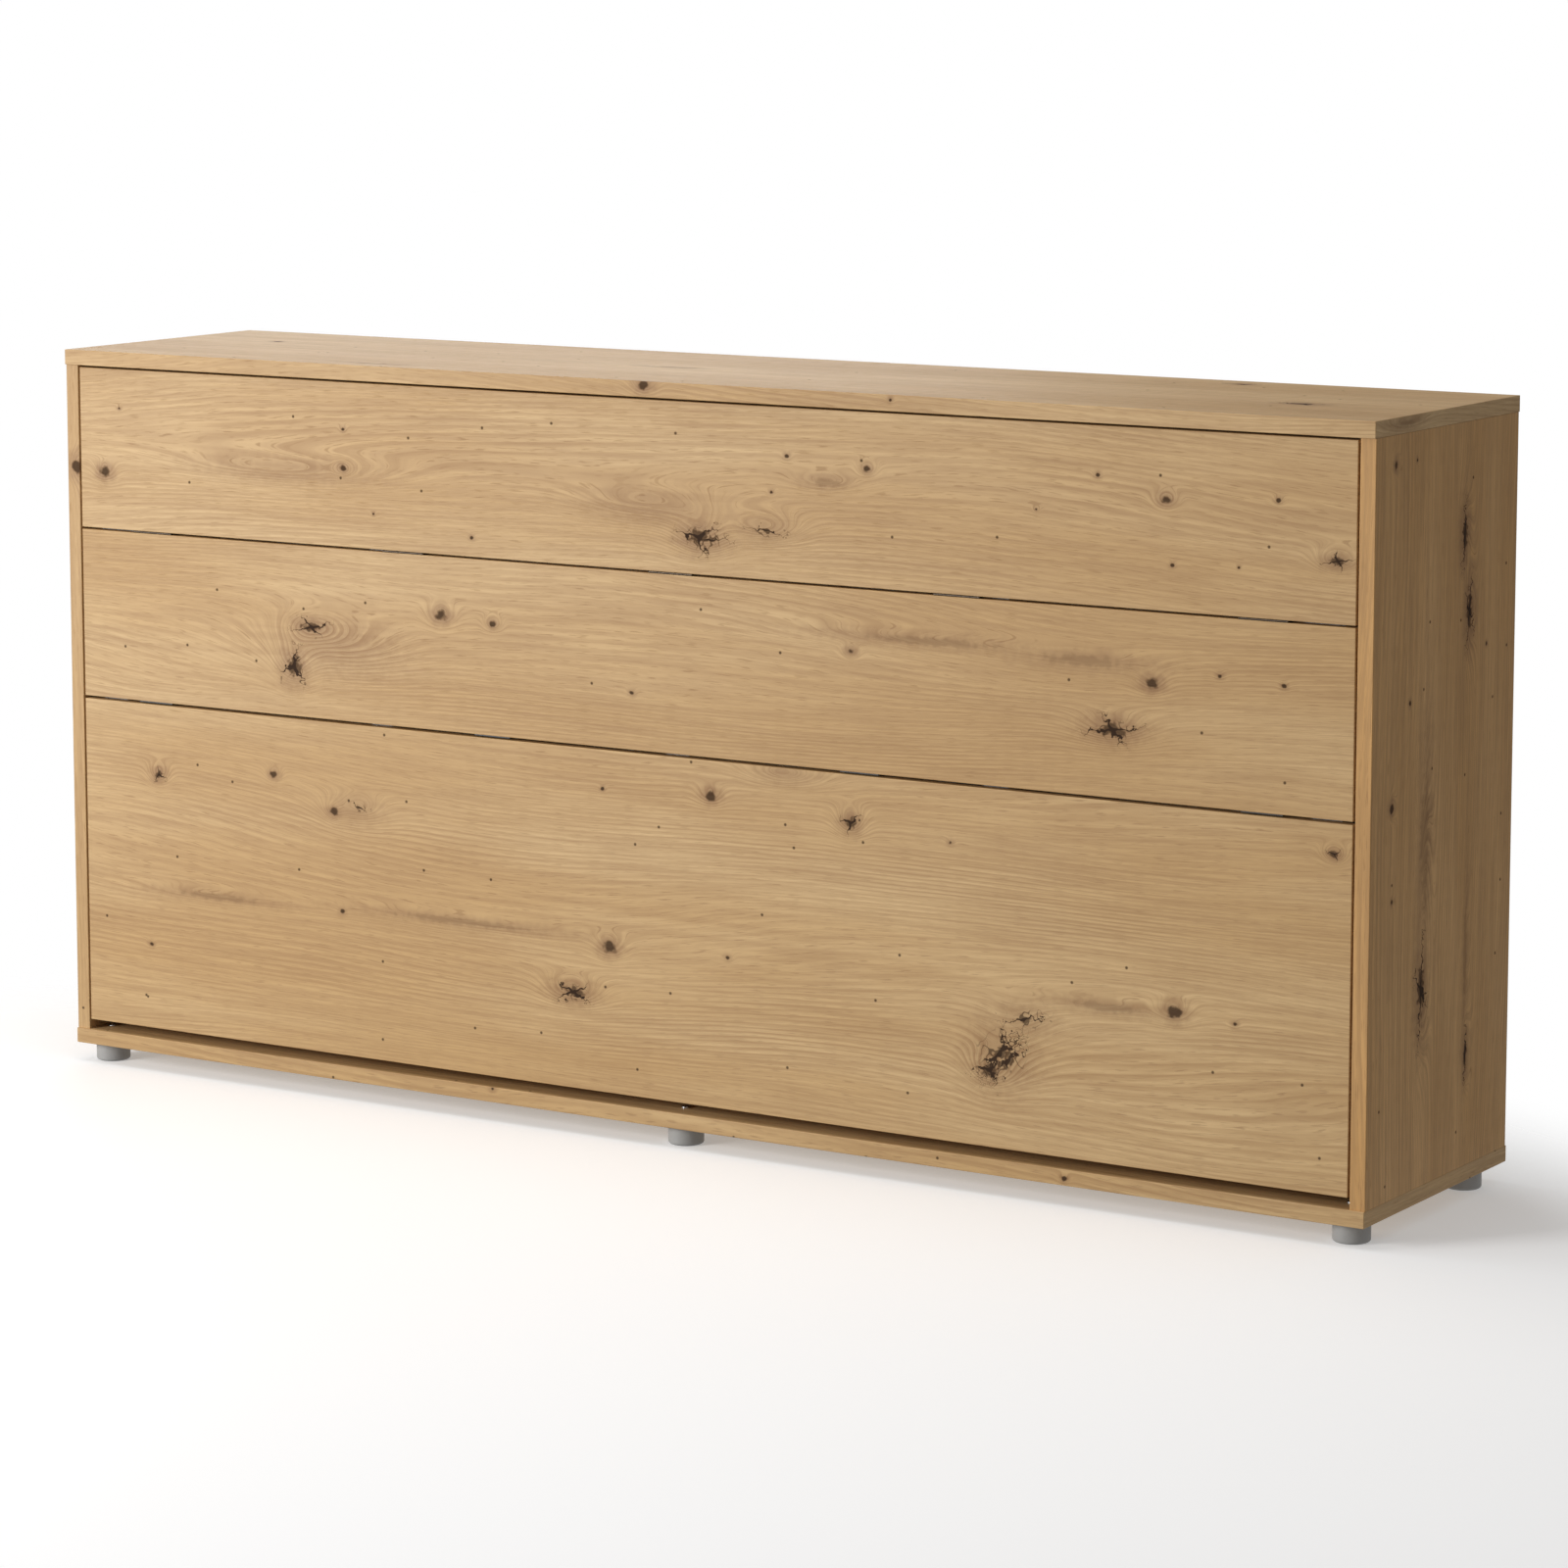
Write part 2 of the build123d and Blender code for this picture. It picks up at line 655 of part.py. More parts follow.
with BuildPart() as slat_caps:
    pocket_y = (slat_end_front - cap_clearance, slat_end_back + cap_clearance + cut_past)
    for x in slat_x:
        cap_x = (x - cap_width / 2, x + cap_width / 2)
        pocket_x = (x - slat_width / 2 - cap_clearance, x + slat_width / 2 + cap_clearance)
        lower_z = (lower_cap_low, lower_cap_low + cap_height)
        upper_z = (upper_cap_low, upper_cap_low + cap_height)
        block(cap_x, (frame_back, slat_crown), lower_z)
        block(cap_x, (frame_back, slat_crown), upper_z)
        block(pocket_x, pocket_y, (slat_low - cap_clearance, lower_z[1]), Mode.SUBTRACT)
        block(pocket_x, pocket_y, (upper_z[0], slat_high + cap_clearance), Mode.SUBTRACT)
save(slat_caps, "slat_caps")

# --- mattress and its straps --------------------------------------------------------------------

with BuildPart() as mattress:
    block((-mattress_end, mattress_end), (mattress_front, mattress_back), (mattress_low, mattress_high))
    fillet(mattress.edges(), mattress_corner)
    inside_x = (mattress_wall - mattress_end, mattress_end - mattress_wall)
    inside_y = (mattress_front + mattress_wall, mattress_back - mattress_wall)
    inside_z = (mattress_low + mattress_wall, mattress_high - mattress_wall)
    block(inside_x, inside_y, inside_z, Mode.SUBTRACT)
save(mattress, "mattress")

for side, sign in (("left", -1), ("right", 1)):
    with BuildPart() as strap:
        x = sign * strap_from_middle
        strap_x = (x - strap_width / 2, x + strap_width / 2)
        back_in = mattress_back + strap_gap
        back_out = back_in + strap_thickness
        top_in = mattress_high + strap_gap
        top_out = top_in + strap_thickness
        low_in = mattress_low - strap_gap
        low_out = low_in - strap_thickness
        anchor_y = rail_board_rear - strap_width
        block(strap_x, (anchor_y, back_out), (top_in, top_out))
        block(strap_x, (back_in, back_out), (low_out, top_out))
        block(strap_x, (anchor_y, back_out), (low_out, low_in))
        block(strap_x, (anchor_y, anchor_y + strap_thickness), (top_in, upper_rail_high))
        block(strap_x, (anchor_y, anchor_y + strap_thickness), (lower_rail_low, low_in))
    save(strap, f"{side}_mattress_strap")

# --- leg hinges ---------------------------------------------------------------------------------

knuckle_pitch = hinge_length / knuckle_count
knuckle_bore_d = hinge_pin_d + 2 * running_clearance
leaf_front = leg_axis_y + knuckle_d / 2 + body_clearance
leaf_back = leg_axis_y + leaf_depth
hinge_starts = [x - hinge_length / 2 for x in hinge_x]
axis_place = [(leg_axis_y, leg_axis_z)]


def hinge_leaves(first_knuckle, leaf_z):
    """Add one leaf of every leg hinge, with every other knuckle from the first one named."""
    for start in hinge_starts:
        leaf_x = (start + knuckle_gap / 2, start + hinge_length - knuckle_gap / 2)
        block(leaf_x, (leaf_front, leaf_back), leaf_z)
        for number in range(first_knuckle, knuckle_count, 2):
            low = start + number * knuckle_pitch + knuckle_gap / 2
            length = knuckle_pitch - knuckle_gap
            block((low, low + length), (leg_axis_y, leaf_front), leaf_z)
            round_bar(Plane.YZ.offset(low), axis_place, knuckle_d, length)
        round_bar(Plane.YZ.offset(start), axis_place, knuckle_bore_d, hinge_length, Mode.SUBTRACT)


with BuildPart() as hinge_bed_leaves:
    hinge_leaves(0, (upper_front_low - leaf, upper_front_low))
save(hinge_bed_leaves, "hinge_bed_leaves")

with BuildPart() as hinge_leg_leaves:
    hinge_leaves(1, (leg_high, leg_high + leaf))
save(hinge_leg_leaves, "hinge_leg_leaves")

with BuildPart() as hinge_pins:
    for start in hinge_starts:
        round_bar(Plane.YZ.offset(start), axis_place, hinge_pin_d, hinge_length)
save(hinge_pins, "hinge_pins")

# --- fold-out leg -------------------------------------------------------------------------------

with BuildPart() as leg_board:
    block(front_x, (face, leg_back), (leg_low, leg_high))
    fillet(leg_board.edges(), board_edge_radius)
save(leg_board, "leg_board")

with BuildPart() as leg_glides:
    glide_middle = (face + leg_back) / 2
    for x in glide_x:
        glide_span = (x - glide_length / 2, x + glide_length / 2)
        glide_y = (glide_middle - glide_width / 2, glide_middle + glide_width / 2)
        block(glide_span, glide_y, (glide_low, leg_low))
    fillet(leg_glides.edges().group_by(Axis.Z)[0], board_edge_radius)
save(leg_glides, "leg_glides")

# A strap's upper end, the heel, stands clear behind the upper front board; as the leg turns down
# it swings back and lies on a lug of the bed frame.
heel_front = frame_front + body_clearance
heel_back = heel_front + strap_iron
heel_high = leg_axis_z + heel_lift
strap_iron_low = leg_high - strap_iron_foot
strap_iron_back = leg_back + strap_iron

with BuildPart() as leg_straps:
    for x in strap_iron_x:
        with BuildSketch(Plane.YZ.offset(x - strap_iron_width / 2)):
            with BuildLine():
                Polyline(
                    (leg_back, strap_iron_low),
                    (strap_iron_back, strap_iron_low),
                    (strap_iron_back, leg_high - joggle_low),
                    (heel_back, leg_high - joggle_high),
                    (heel_back, heel_high),
                    (heel_front, heel_high),
                    (heel_front, leg_high - joggle_high),
                    (leg_back, leg_high - joggle_low),
                    close=True,
                )
            make_face()
        extrude(amount=strap_iron_width)
save(leg_straps, "leg_straps")

# The heel's back face is this far from the leg axis, so it comes down to this height.
heel_landing = leg_axis_z - (heel_back - leg_axis_y)
lug_high = heel_landing - body_clearance
lug_front = heel_back + body_clearance

with BuildPart() as leg_stop_lugs:
    for x in strap_iron_x:
        lug_x = (x - strap_iron_width / 2, x + strap_iron_width / 2)
        block(lug_x, (lug_front, lug_front + lug_length), (lug_high - lug_height, lug_high))
save(leg_stop_lugs, "leg_stop_lugs")

# Each magnet is fixed to the frame upright beside the strap, whose lower end it pulls in.
magnet_front = strap_iron_back + body_clearance

magnet_y = (magnet_front, magnet_front + magnet_depth)
magnet_z = (strap_iron_low, strap_iron_low + magnet_height)

with BuildPart() as leg_magnets:
    for x in strap_iron_x:
        sign = 1 if x > 0 else -1
        tube_side = abs(x) + strap_iron_width / 2
        block(span(sign, tube_side - magnet_width, tube_side), magnet_y, magnet_z)
save(leg_magnets, "leg_magnets")

# --- gas springs --------------------------------------------------------------------------------

cylinder_start = spring_eye_d / 2 - spring_eye_overlap
cylinder_end = cylinder_start + spring_cylinder_length
bore_start = cylinder_start + 2 * spring_end_wall
bore_end = cylinder_end - spring_end_wall
rod_bore_d = spring_rod_d + 2 * running_clearance
piston_d = spring_bore_d - 2 * running_clearance
piston_end = bore_end - piston_rest_gap
piston_start = piston_end - piston_length
rod_end = closed_length - spring_eye_d / 2 + spring_eye_overlap
eye_bore_d = spring_stud_d + 2 * running_clearance
socket_d = spring_stud_d + 2 * body_clearance

for side, sign in (("left", -1), ("right", 1)):
    along = Plane(
        origin=(sign * spring_x, fixed_y, fixed_z),
        x_dir=(1, 0, 0),
        z_dir=(0, moving_y - fixed_y, moving_z - fixed_z),
    )
    centre = [(0, 0)]
    eye_plane = Plane.YZ.offset(sign * eye_near)
    with BuildPart() as cylinder:
        round_bar(along.offset(cylinder_start), centre, spring_d, spring_cylinder_length)
        fillet(cylinder.edges().filter_by(GeomType.CIRCLE), board_edge_radius)
        round_bar(eye_plane, fixed_place, spring_eye_d, sign * spring_eye_width)
        bore_length = bore_end - bore_start
        round_bar(along.offset(bore_start), centre, spring_bore_d, bore_length, Mode.SUBTRACT)
        rod_bore_start = along.offset(bore_end - cut_past)
        rod_bore_length = spring_end_wall + 2 * cut_past
        round_bar(rod_bore_start, centre, rod_bore_d, rod_bore_length, Mode.SUBTRACT)
        beside_eye = Plane.YZ.offset(sign * (eye_near - spring_side_gap))
        through_eye = sign * (spring_eye_width + 2 * spring_side_gap)
        round_bar(beside_eye, fixed_place, eye_bore_d, through_eye, Mode.SUBTRACT)
    save(cylinder, f"{side}_spring_cylinder")

    with BuildPart() as rod:
        round_bar(along.offset(piston_start), centre, piston_d, piston_length)
        round_bar(along.offset(piston_start), centre, spring_rod_d, rod_end - piston_start)
        round_bar(eye_plane, moving_place, spring_eye_d, sign * spring_eye_width)
        round_bar(eye_plane, moving_place, socket_d, sign * socket_depth, Mode.SUBTRACT)
    save(rod, f"{side}_spring_rod")

print(f"cabinet {2 * side_out:.1f} x {body_depth:.1f} x {top_high:.1f}")
print(f"bed pivot y {pivot_y:.2f} z {pivot_z:.2f}; leg axis y {leg_axis_y:.2f} z {leg_axis_z:.2f}")
print(f"spring fixed end x {spring_x:.2f} y {fixed_y:.2f} z {fixed_z:.2f}")
print(f"spring closed {closed_length:.3f} open {open_length:.3f} stroke {spring_stroke:.3f}")
print(f"spring swing {spring_swing:.4f} deg; ratio {spring_swing / 90:.6f}")
print(f"rod ratio {spring_stroke / 1000 / (pi / 2):.6f} m/rad")
rod_y = (fixed_y - moving_y) / closed_length
rod_z = (fixed_z - moving_z) / closed_length
print(f"rod direction y {rod_y:.6f} z {rod_z:.6f}")
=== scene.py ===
"""Horizontal wall bed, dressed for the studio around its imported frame.

Metres, +Z up, X along the bed, front towards -Y.  The frame's nodes keep their meshes and get
their finishes here; the mattress and its straps are modelled anew, because cloth is soft.
"""

import logging
from dataclasses import dataclass, field
from enum import Enum
from functools import cache
from math import atan2, cos, exp, hypot, pi, radians, sin
from typing import Sequence

import bpy
from mathutils import Matrix, Vector


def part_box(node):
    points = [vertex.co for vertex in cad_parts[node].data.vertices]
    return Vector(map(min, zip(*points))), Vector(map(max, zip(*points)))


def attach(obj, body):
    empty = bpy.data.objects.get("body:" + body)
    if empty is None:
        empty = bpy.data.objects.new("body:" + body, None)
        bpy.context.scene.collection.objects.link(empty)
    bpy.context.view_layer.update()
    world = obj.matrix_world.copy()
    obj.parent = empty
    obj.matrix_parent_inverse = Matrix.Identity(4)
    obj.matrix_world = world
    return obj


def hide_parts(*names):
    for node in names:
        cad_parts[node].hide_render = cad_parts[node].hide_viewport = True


log = logging.getLogger("wall_bed")
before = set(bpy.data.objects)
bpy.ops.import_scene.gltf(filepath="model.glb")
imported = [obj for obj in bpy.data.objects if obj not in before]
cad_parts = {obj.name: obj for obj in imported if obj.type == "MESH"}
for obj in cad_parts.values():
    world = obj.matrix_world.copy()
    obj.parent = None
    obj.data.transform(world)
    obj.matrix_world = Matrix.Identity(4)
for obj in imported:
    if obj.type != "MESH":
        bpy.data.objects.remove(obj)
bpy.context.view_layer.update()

Colour = tuple[float, float, float]
Socket = bpy.types.NodeSocket
Place = tuple[float, float, float]
Span = tuple[float, float]

SIDES = ("left", "right")


# --- node trees -----------------------------------------------------------------------------------


class Kind(Enum):
    """The kinds of socket that a node group of this file has."""

    VALUE = "NodeSocketFloat"
    COLOUR = "NodeSocketColor"
    PLACE = "NodeSocketVector"


class Graph:
    """A node tree being drawn, with a short call for each sort of node that the finishes use."""

    def __init__(self, tree: bpy.types.NodeTree) -> None:
        """Take hold of a node tree.

        Args:
            tree: The material's or group's tree.
        """
        self.tree = tree

    def add(self, kind: str, feeds: dict | None = None, **settings: object) -> bpy.types.Node:
        """Add a node, set it up and feed its inputs.

        Args:
            kind: Blender's name of the node's type.
            feeds: Input names, each with a value or a socket to link.
            **settings: The node's own properties.

        Returns:
            The new node.
        """
        node = self.tree.nodes.new(kind)
        for name, value in settings.items():
            setattr(node, name, value)
        for name, value in (feeds or {}).items():
            self.feed(node.inputs[name], value)
        return node

    def feed(self, socket: Socket, value: object) -> None:
        """Link a socket to an input, or set the input's own value.

        Args:
            socket: The input.
            value: A socket or a plain value.
        """
        if isinstance(value, Socket):
            self.tree.links.new(value, socket)
        elif socket.type == "RGBA":
            socket.default_value = (*value[:3], 1.0)
        else:
            socket.default_value = value

    def math(self, operation: str, *values: object, clamp: bool = False) -> Socket:
        """Add a Math node.

        Args:
            operation: The operation's name.
            *values: Numbers or sockets for its inputs in order.
            clamp: Whether the result is held between 0 and 1.

        Returns:
            The result.
        """
        node = self.add("ShaderNodeMath", operation=operation, use_clamp=clamp)
        for socket, value in zip(node.inputs, values):
            self.feed(socket, value)
        return node.outputs[0]

    def vector(self, operation: str, *values: object) -> Socket:
        """Add a Vector Math node.

        Args:
            operation: The operation's name.
            *values: Vectors or sockets for its inputs in order.

        Returns:
            The result, which is a number for LENGTH.
        """
        node = self.add("ShaderNodeVectorMath", operation=operation)
        for socket, value in zip(node.inputs, values):
            self.feed(socket, value)
        return node.outputs["Value" if operation == "LENGTH" else "Vector"]

    def join(self, x: object, y: object, z: object = 0.0) -> Socket:
        """Return a vector made of three values."""
        return self.add("ShaderNodeCombineXYZ", {"X": x, "Y": y, "Z": z}).outputs[0]

    def split(self, vector: Socket) -> tuple[Socket, Socket, Socket]:
        """Return the three values of a vector."""
        node = self.add("ShaderNodeSeparateXYZ", {"Vector": vector})
        return node.outputs[0], node.outputs[1], node.outputs[2]

    def noise(
        self, place: Socket, scale: float | Socket, detail: float = 2.0, flat: bool = False
    ) -> Socket:
        """Add a noise texture.

        Args:
            place: Where it is read.
            scale: Its scale.
            detail: Its octaves.
            flat: Whether it reads only the first two coordinates.

        Returns:
            Its value, 0 to 1.
        """
        size = "2D" if flat else "3D"
        feeds = {"Vector": place, "Scale": scale, "Detail": detail}
        return self.add("ShaderNodeTexNoise", feeds, noise_dimensions=size).outputs[0]

    def spread(
        self, value: Socket, low: float, high: float, start: float = 0.0, end: float = 1.0
    ) -> Socket:
        """Map a range of a value smoothly onto another.

        Args:
            value: The value.
            low: Where the mapping starts.
            high: Where it ends.
            start: What low becomes.
            end: What high becomes.

        Returns:
            The mapped value.
        """
        feeds = {"Value": value, "From Min": low, "From Max": high, "To Min": start, "To Max": end}
        return self.add("ShaderNodeMapRange", feeds, interpolation_type="SMOOTHSTEP").outputs[0]

    def tint(self, factor: object, one: object, other: object, mode: str = "MIX") -> Socket:
        """Mix two colours.

        Args:
            factor: How much of the other.
            one: The first colour.
            other: The second colour.
            mode: The way they are mixed.

        Returns:
            The mixed colour.
        """
        node = self.add("ShaderNodeMix", data_type="RGBA", blend_type=mode, clamp_factor=True)
        self.feed(node.inputs[0], factor)
        self.feed(node.inputs[6], one)
        self.feed(node.inputs[7], other)
        return node.outputs[2]

    def choose(self, factor: Socket, one: Socket, other: Socket) -> Socket:
        """Choose one of two vectors.

        Args:
            factor: 0 for the one, 1 for the other.
            one: The first vector.
            other: The second vector.

        Returns:
            The chosen vector.
        """
        node = self.add("ShaderNodeMix", data_type="VECTOR")
        self.feed(node.inputs[0], factor)
        self.feed(node.inputs[4], one)
        self.feed(node.inputs[5], other)
        return node.outputs[1]

    def group(self, tree: bpy.types.NodeTree, feeds: dict) -> bpy.types.Node:
        """Place a node group and feed it.

        Args:
            tree: The group's tree.
            feeds: Input names, each with a value or a socket to link.

        Returns:
            The group's node.
        """
        node = self.add("ShaderNodeGroup", node_tree=tree)
        for name, value in feeds.items():
            self.feed(node.inputs[name], value)
        return node


def new_group(name: str, takes: dict[str, Kind], gives: dict[str, Kind]) -> tuple[Graph, dict, dict]:
    """Start a shader node group.

    Args:
        name: Its name.
        takes: Names and kinds of its inputs.
        gives: Names and kinds of its outputs.

    Returns:
        Its graph, its inputs inside as sockets, and its outputs inside as sockets, by name.
    """
    tree = bpy.data.node_groups.new(name, "ShaderNodeTree")
    for title, kind in takes.items():
        tree.interface.new_socket(title, in_out="INPUT", socket_type=kind.value)
    for title, kind in gives.items():
        tree.interface.new_socket(title, in_out="OUTPUT", socket_type=kind.value)
    start = tree.nodes.new("NodeGroupInput")
    end = tree.nodes.new("NodeGroupOutput")
    return Graph(tree), {k: start.outputs[k] for k in takes}, {k: end.inputs[k] for k in gives}


@dataclass(frozen=True)
class KnotShape:
    """How a knot is drawn, on its own scale, where it reaches about 1.

    Attributes:
        ragged: How far the ragged noise moves its outline.
        heart: The distances between which its dark heart starts.
        stain: The distances between which the brown round it starts.
        jag: How far the ragged noise turns its cracks, in radians.
        taper: How fast a crack narrows on its way out.
        crack: The half widths between which a crack's dark starts.
        vein_taper: How fast the fine veins thin out.
        vein: The half widths between which a vein's dark starts.
        core: The distances between which the torn core starts.
        faint: How dark the veins and the core are beside the cracks.
        ragged_scale: The scale of the ragged noise, to the metre.
        vein_scale: The scale of the veins' noise, to the metre.
    """

    ragged: float = 0.6
    heart: tuple[float, float] = (0.5, 0.24)
    stain: tuple[float, float] = (1.3, 0.1)
    jag: float = 2.8
    taper: float = 0.14
    crack: tuple[float, float] = (0.17, 0.1)
    vein_taper: float = 0.09
    vein: tuple[float, float] = (0.06, 0.03)
    core: tuple[float, float] = (0.36, 0.2)
    faint: float = 0.75
    ragged_scale: float = 85.0
    vein_scale: float = 34.0


@cache
def knot_group() -> bpy.types.NodeTree:
    """Draw the group for one knot, which bends the growth rings round it and darkens its heart.

    Returns:
        The group's tree, which is built only once.
    """
    values = ["Pull", "Heart", "Split", "Stain", "Arms", "Twist", "Thin", "Ragged", "Veins"]
    values += ["Rings", "Dark", "Halo"]
    takes = {"Place": Kind.PLACE, "Centre": Kind.PLACE, "Size": Kind.PLACE}
    takes |= {name: Kind.VALUE for name in values}
    g, given, out = new_group("Knot", takes, {name: Kind.VALUE for name in values[-3:]})
    shape = KnotShape()
    offset = g.vector("DIVIDE", g.vector("SUBTRACT", given["Place"], given["Centre"]), given["Size"])
    along, across, _ = g.split(offset)
    reach = g.vector("LENGTH", offset)
    swell = g.math("POWER", exp(1), g.math("MULTIPLY", g.math("MULTIPLY", reach, reach), -1.0))
    rough_reach = g.math("MULTIPLY_ADD", given["Ragged"], shape.ragged, reach)
    heart = g.math("MULTIPLY", g.spread(rough_reach, *shape.heart), given["Heart"])
    turn = g.math("MULTIPLY_ADD", g.math("ARCTAN2", across, along), given["Arms"], given["Twist"])
    turn = g.math("MULTIPLY_ADD", given["Ragged"], shape.jag, turn)
    arm = g.math("MULTIPLY", g.math("ABSOLUTE", g.math("SINE", turn)), reach)
    arm = g.math("MULTIPLY", arm, given["Thin"])
    star = g.spread(g.math("MULTIPLY_ADD", reach, shape.taper, arm), *shape.crack)
    vein = g.math("MULTIPLY_ADD", reach, shape.vein_taper, given["Veins"])
    core = g.spread(g.math("MULTIPLY", rough_reach, given["Thin"]), *shape.core)
    fine = g.math("MAXIMUM", g.spread(vein, *shape.vein), core)
    torn = g.math("MAXIMUM", star, g.math("MULTIPLY", fine, shape.faint))
    torn = g.math("MULTIPLY", torn, given["Split"])
    near = g.math("MULTIPLY", g.spread(rough_reach, *shape.stain), given["Stain"])
    g.feed(out["Rings"], g.math("MULTIPLY_ADD", swell, given["Pull"], given["Rings"]))
    g.feed(out["Dark"], g.math("MAXIMUM", given["Dark"], g.math("MAXIMUM", heart, torn)))
    g.feed(out["Halo"], g.math("MAXIMUM", given["Halo"], near))
    return g.tree


@dataclass(frozen=True)
class Streak:
    """Noise drawn out along the grain.

    Attributes:
        along: Its scale along the grain, to the metre.
        across: Its scale across the grain, to the metre or to the ring.
        detail: Its octaves.
        low: Where its effect starts.
        high: Where its effect is full.
    """

    along: float
    across: float
    detail: float
    low: float = 0.5
    high: float = 0.5


@dataclass(frozen=True)
class Figure:
    """How plain-sawn oak is drawn.

    Attributes:
        rings: Growth rings to the metre across the grain.
        sway, ripple: The slow and the quick bends of the rings.
        sway_by, ripple_by: How many rings they move a line.
        strength: Where the rings show more and less.
        fibre, pore: Fibres and pores, which follow the rings.
        brush: Fine straight lines.
        tone, band: Slow changes of colour.
        band_by, brush_by, fibre_by, pore_by, halo_by: How far each one colours the wood.
        pins: How many places to the metre may hold a tiny pin knot, each way.
        pin: The distances between which a pin starts, on that scale.
        pin_chance: What part of the places stay empty.
        pin_dark: How dark the pins are.
        late: Where in a ring its dark late wood starts, and where it is full.
        ring_end: Where the dark line stops, just before the next ring.
        early: Where in a ring its pores thin out and thicken, and how many there are at each.
        faintest_line: How plain the rings are where they show least.
        halo_lines: The stain at which the lines start and stop getting stronger, and by how much.
        matt: The roughness, and what lines, pores and dark parts add to it.
        line_dip, pore_dip, dark_dip: How deep each one lies in the surface.
    """

    rings: float = 128.0
    sway: Streak = Streak(0.62, 3.3, 1.0)
    sway_by: float = 20.0
    ripple: Streak = Streak(2.2, 17.0, 2.0)
    ripple_by: float = 1.3
    strength: Streak = Streak(1.6, 9.0, 2.0, 0.32, 0.72)
    fibre: Streak = Streak(7.0, 2.3, 3.0, 0.34, 0.68)
    pore: Streak = Streak(34.0, 8.5, 1.0, 0.58, 0.72)
    brush: Streak = Streak(3.2, 95.0, 3.0, 0.36, 0.7)
    tone: Streak = Streak(0.9, 5.5, 3.0, 0.3, 0.7)
    band: Streak = Streak(0.5, 16.0, 2.0, 0.42, 0.75)
    band_by: float = 0.3
    brush_by: float = 0.24
    fibre_by: float = 0.32
    pore_by: float = 0.36
    halo_by: float = 0.72
    pins: float = 9.0
    pin: tuple[float, float] = (0.026, 0.011)
    pin_chance: float = 0.56
    pin_dark: float = 0.8
    late: tuple[float, float] = (0.25, 0.9)
    ring_end: tuple[float, float] = (1.0, 0.93)
    early: tuple[float, float, float, float] = (0.75, 0.1, 0.35, 1.0)
    faintest_line: float = 0.15
    halo_lines: tuple[float, float, float, float] = (0.0, 0.5, 1.0, 1.7)
    matt: tuple[float, float, float, float] = (0.5, 0.08, 0.1, 0.5)
    line_dip: float = 0.3
    pore_dip: float = 0.7
    dark_dip: float = 1.4


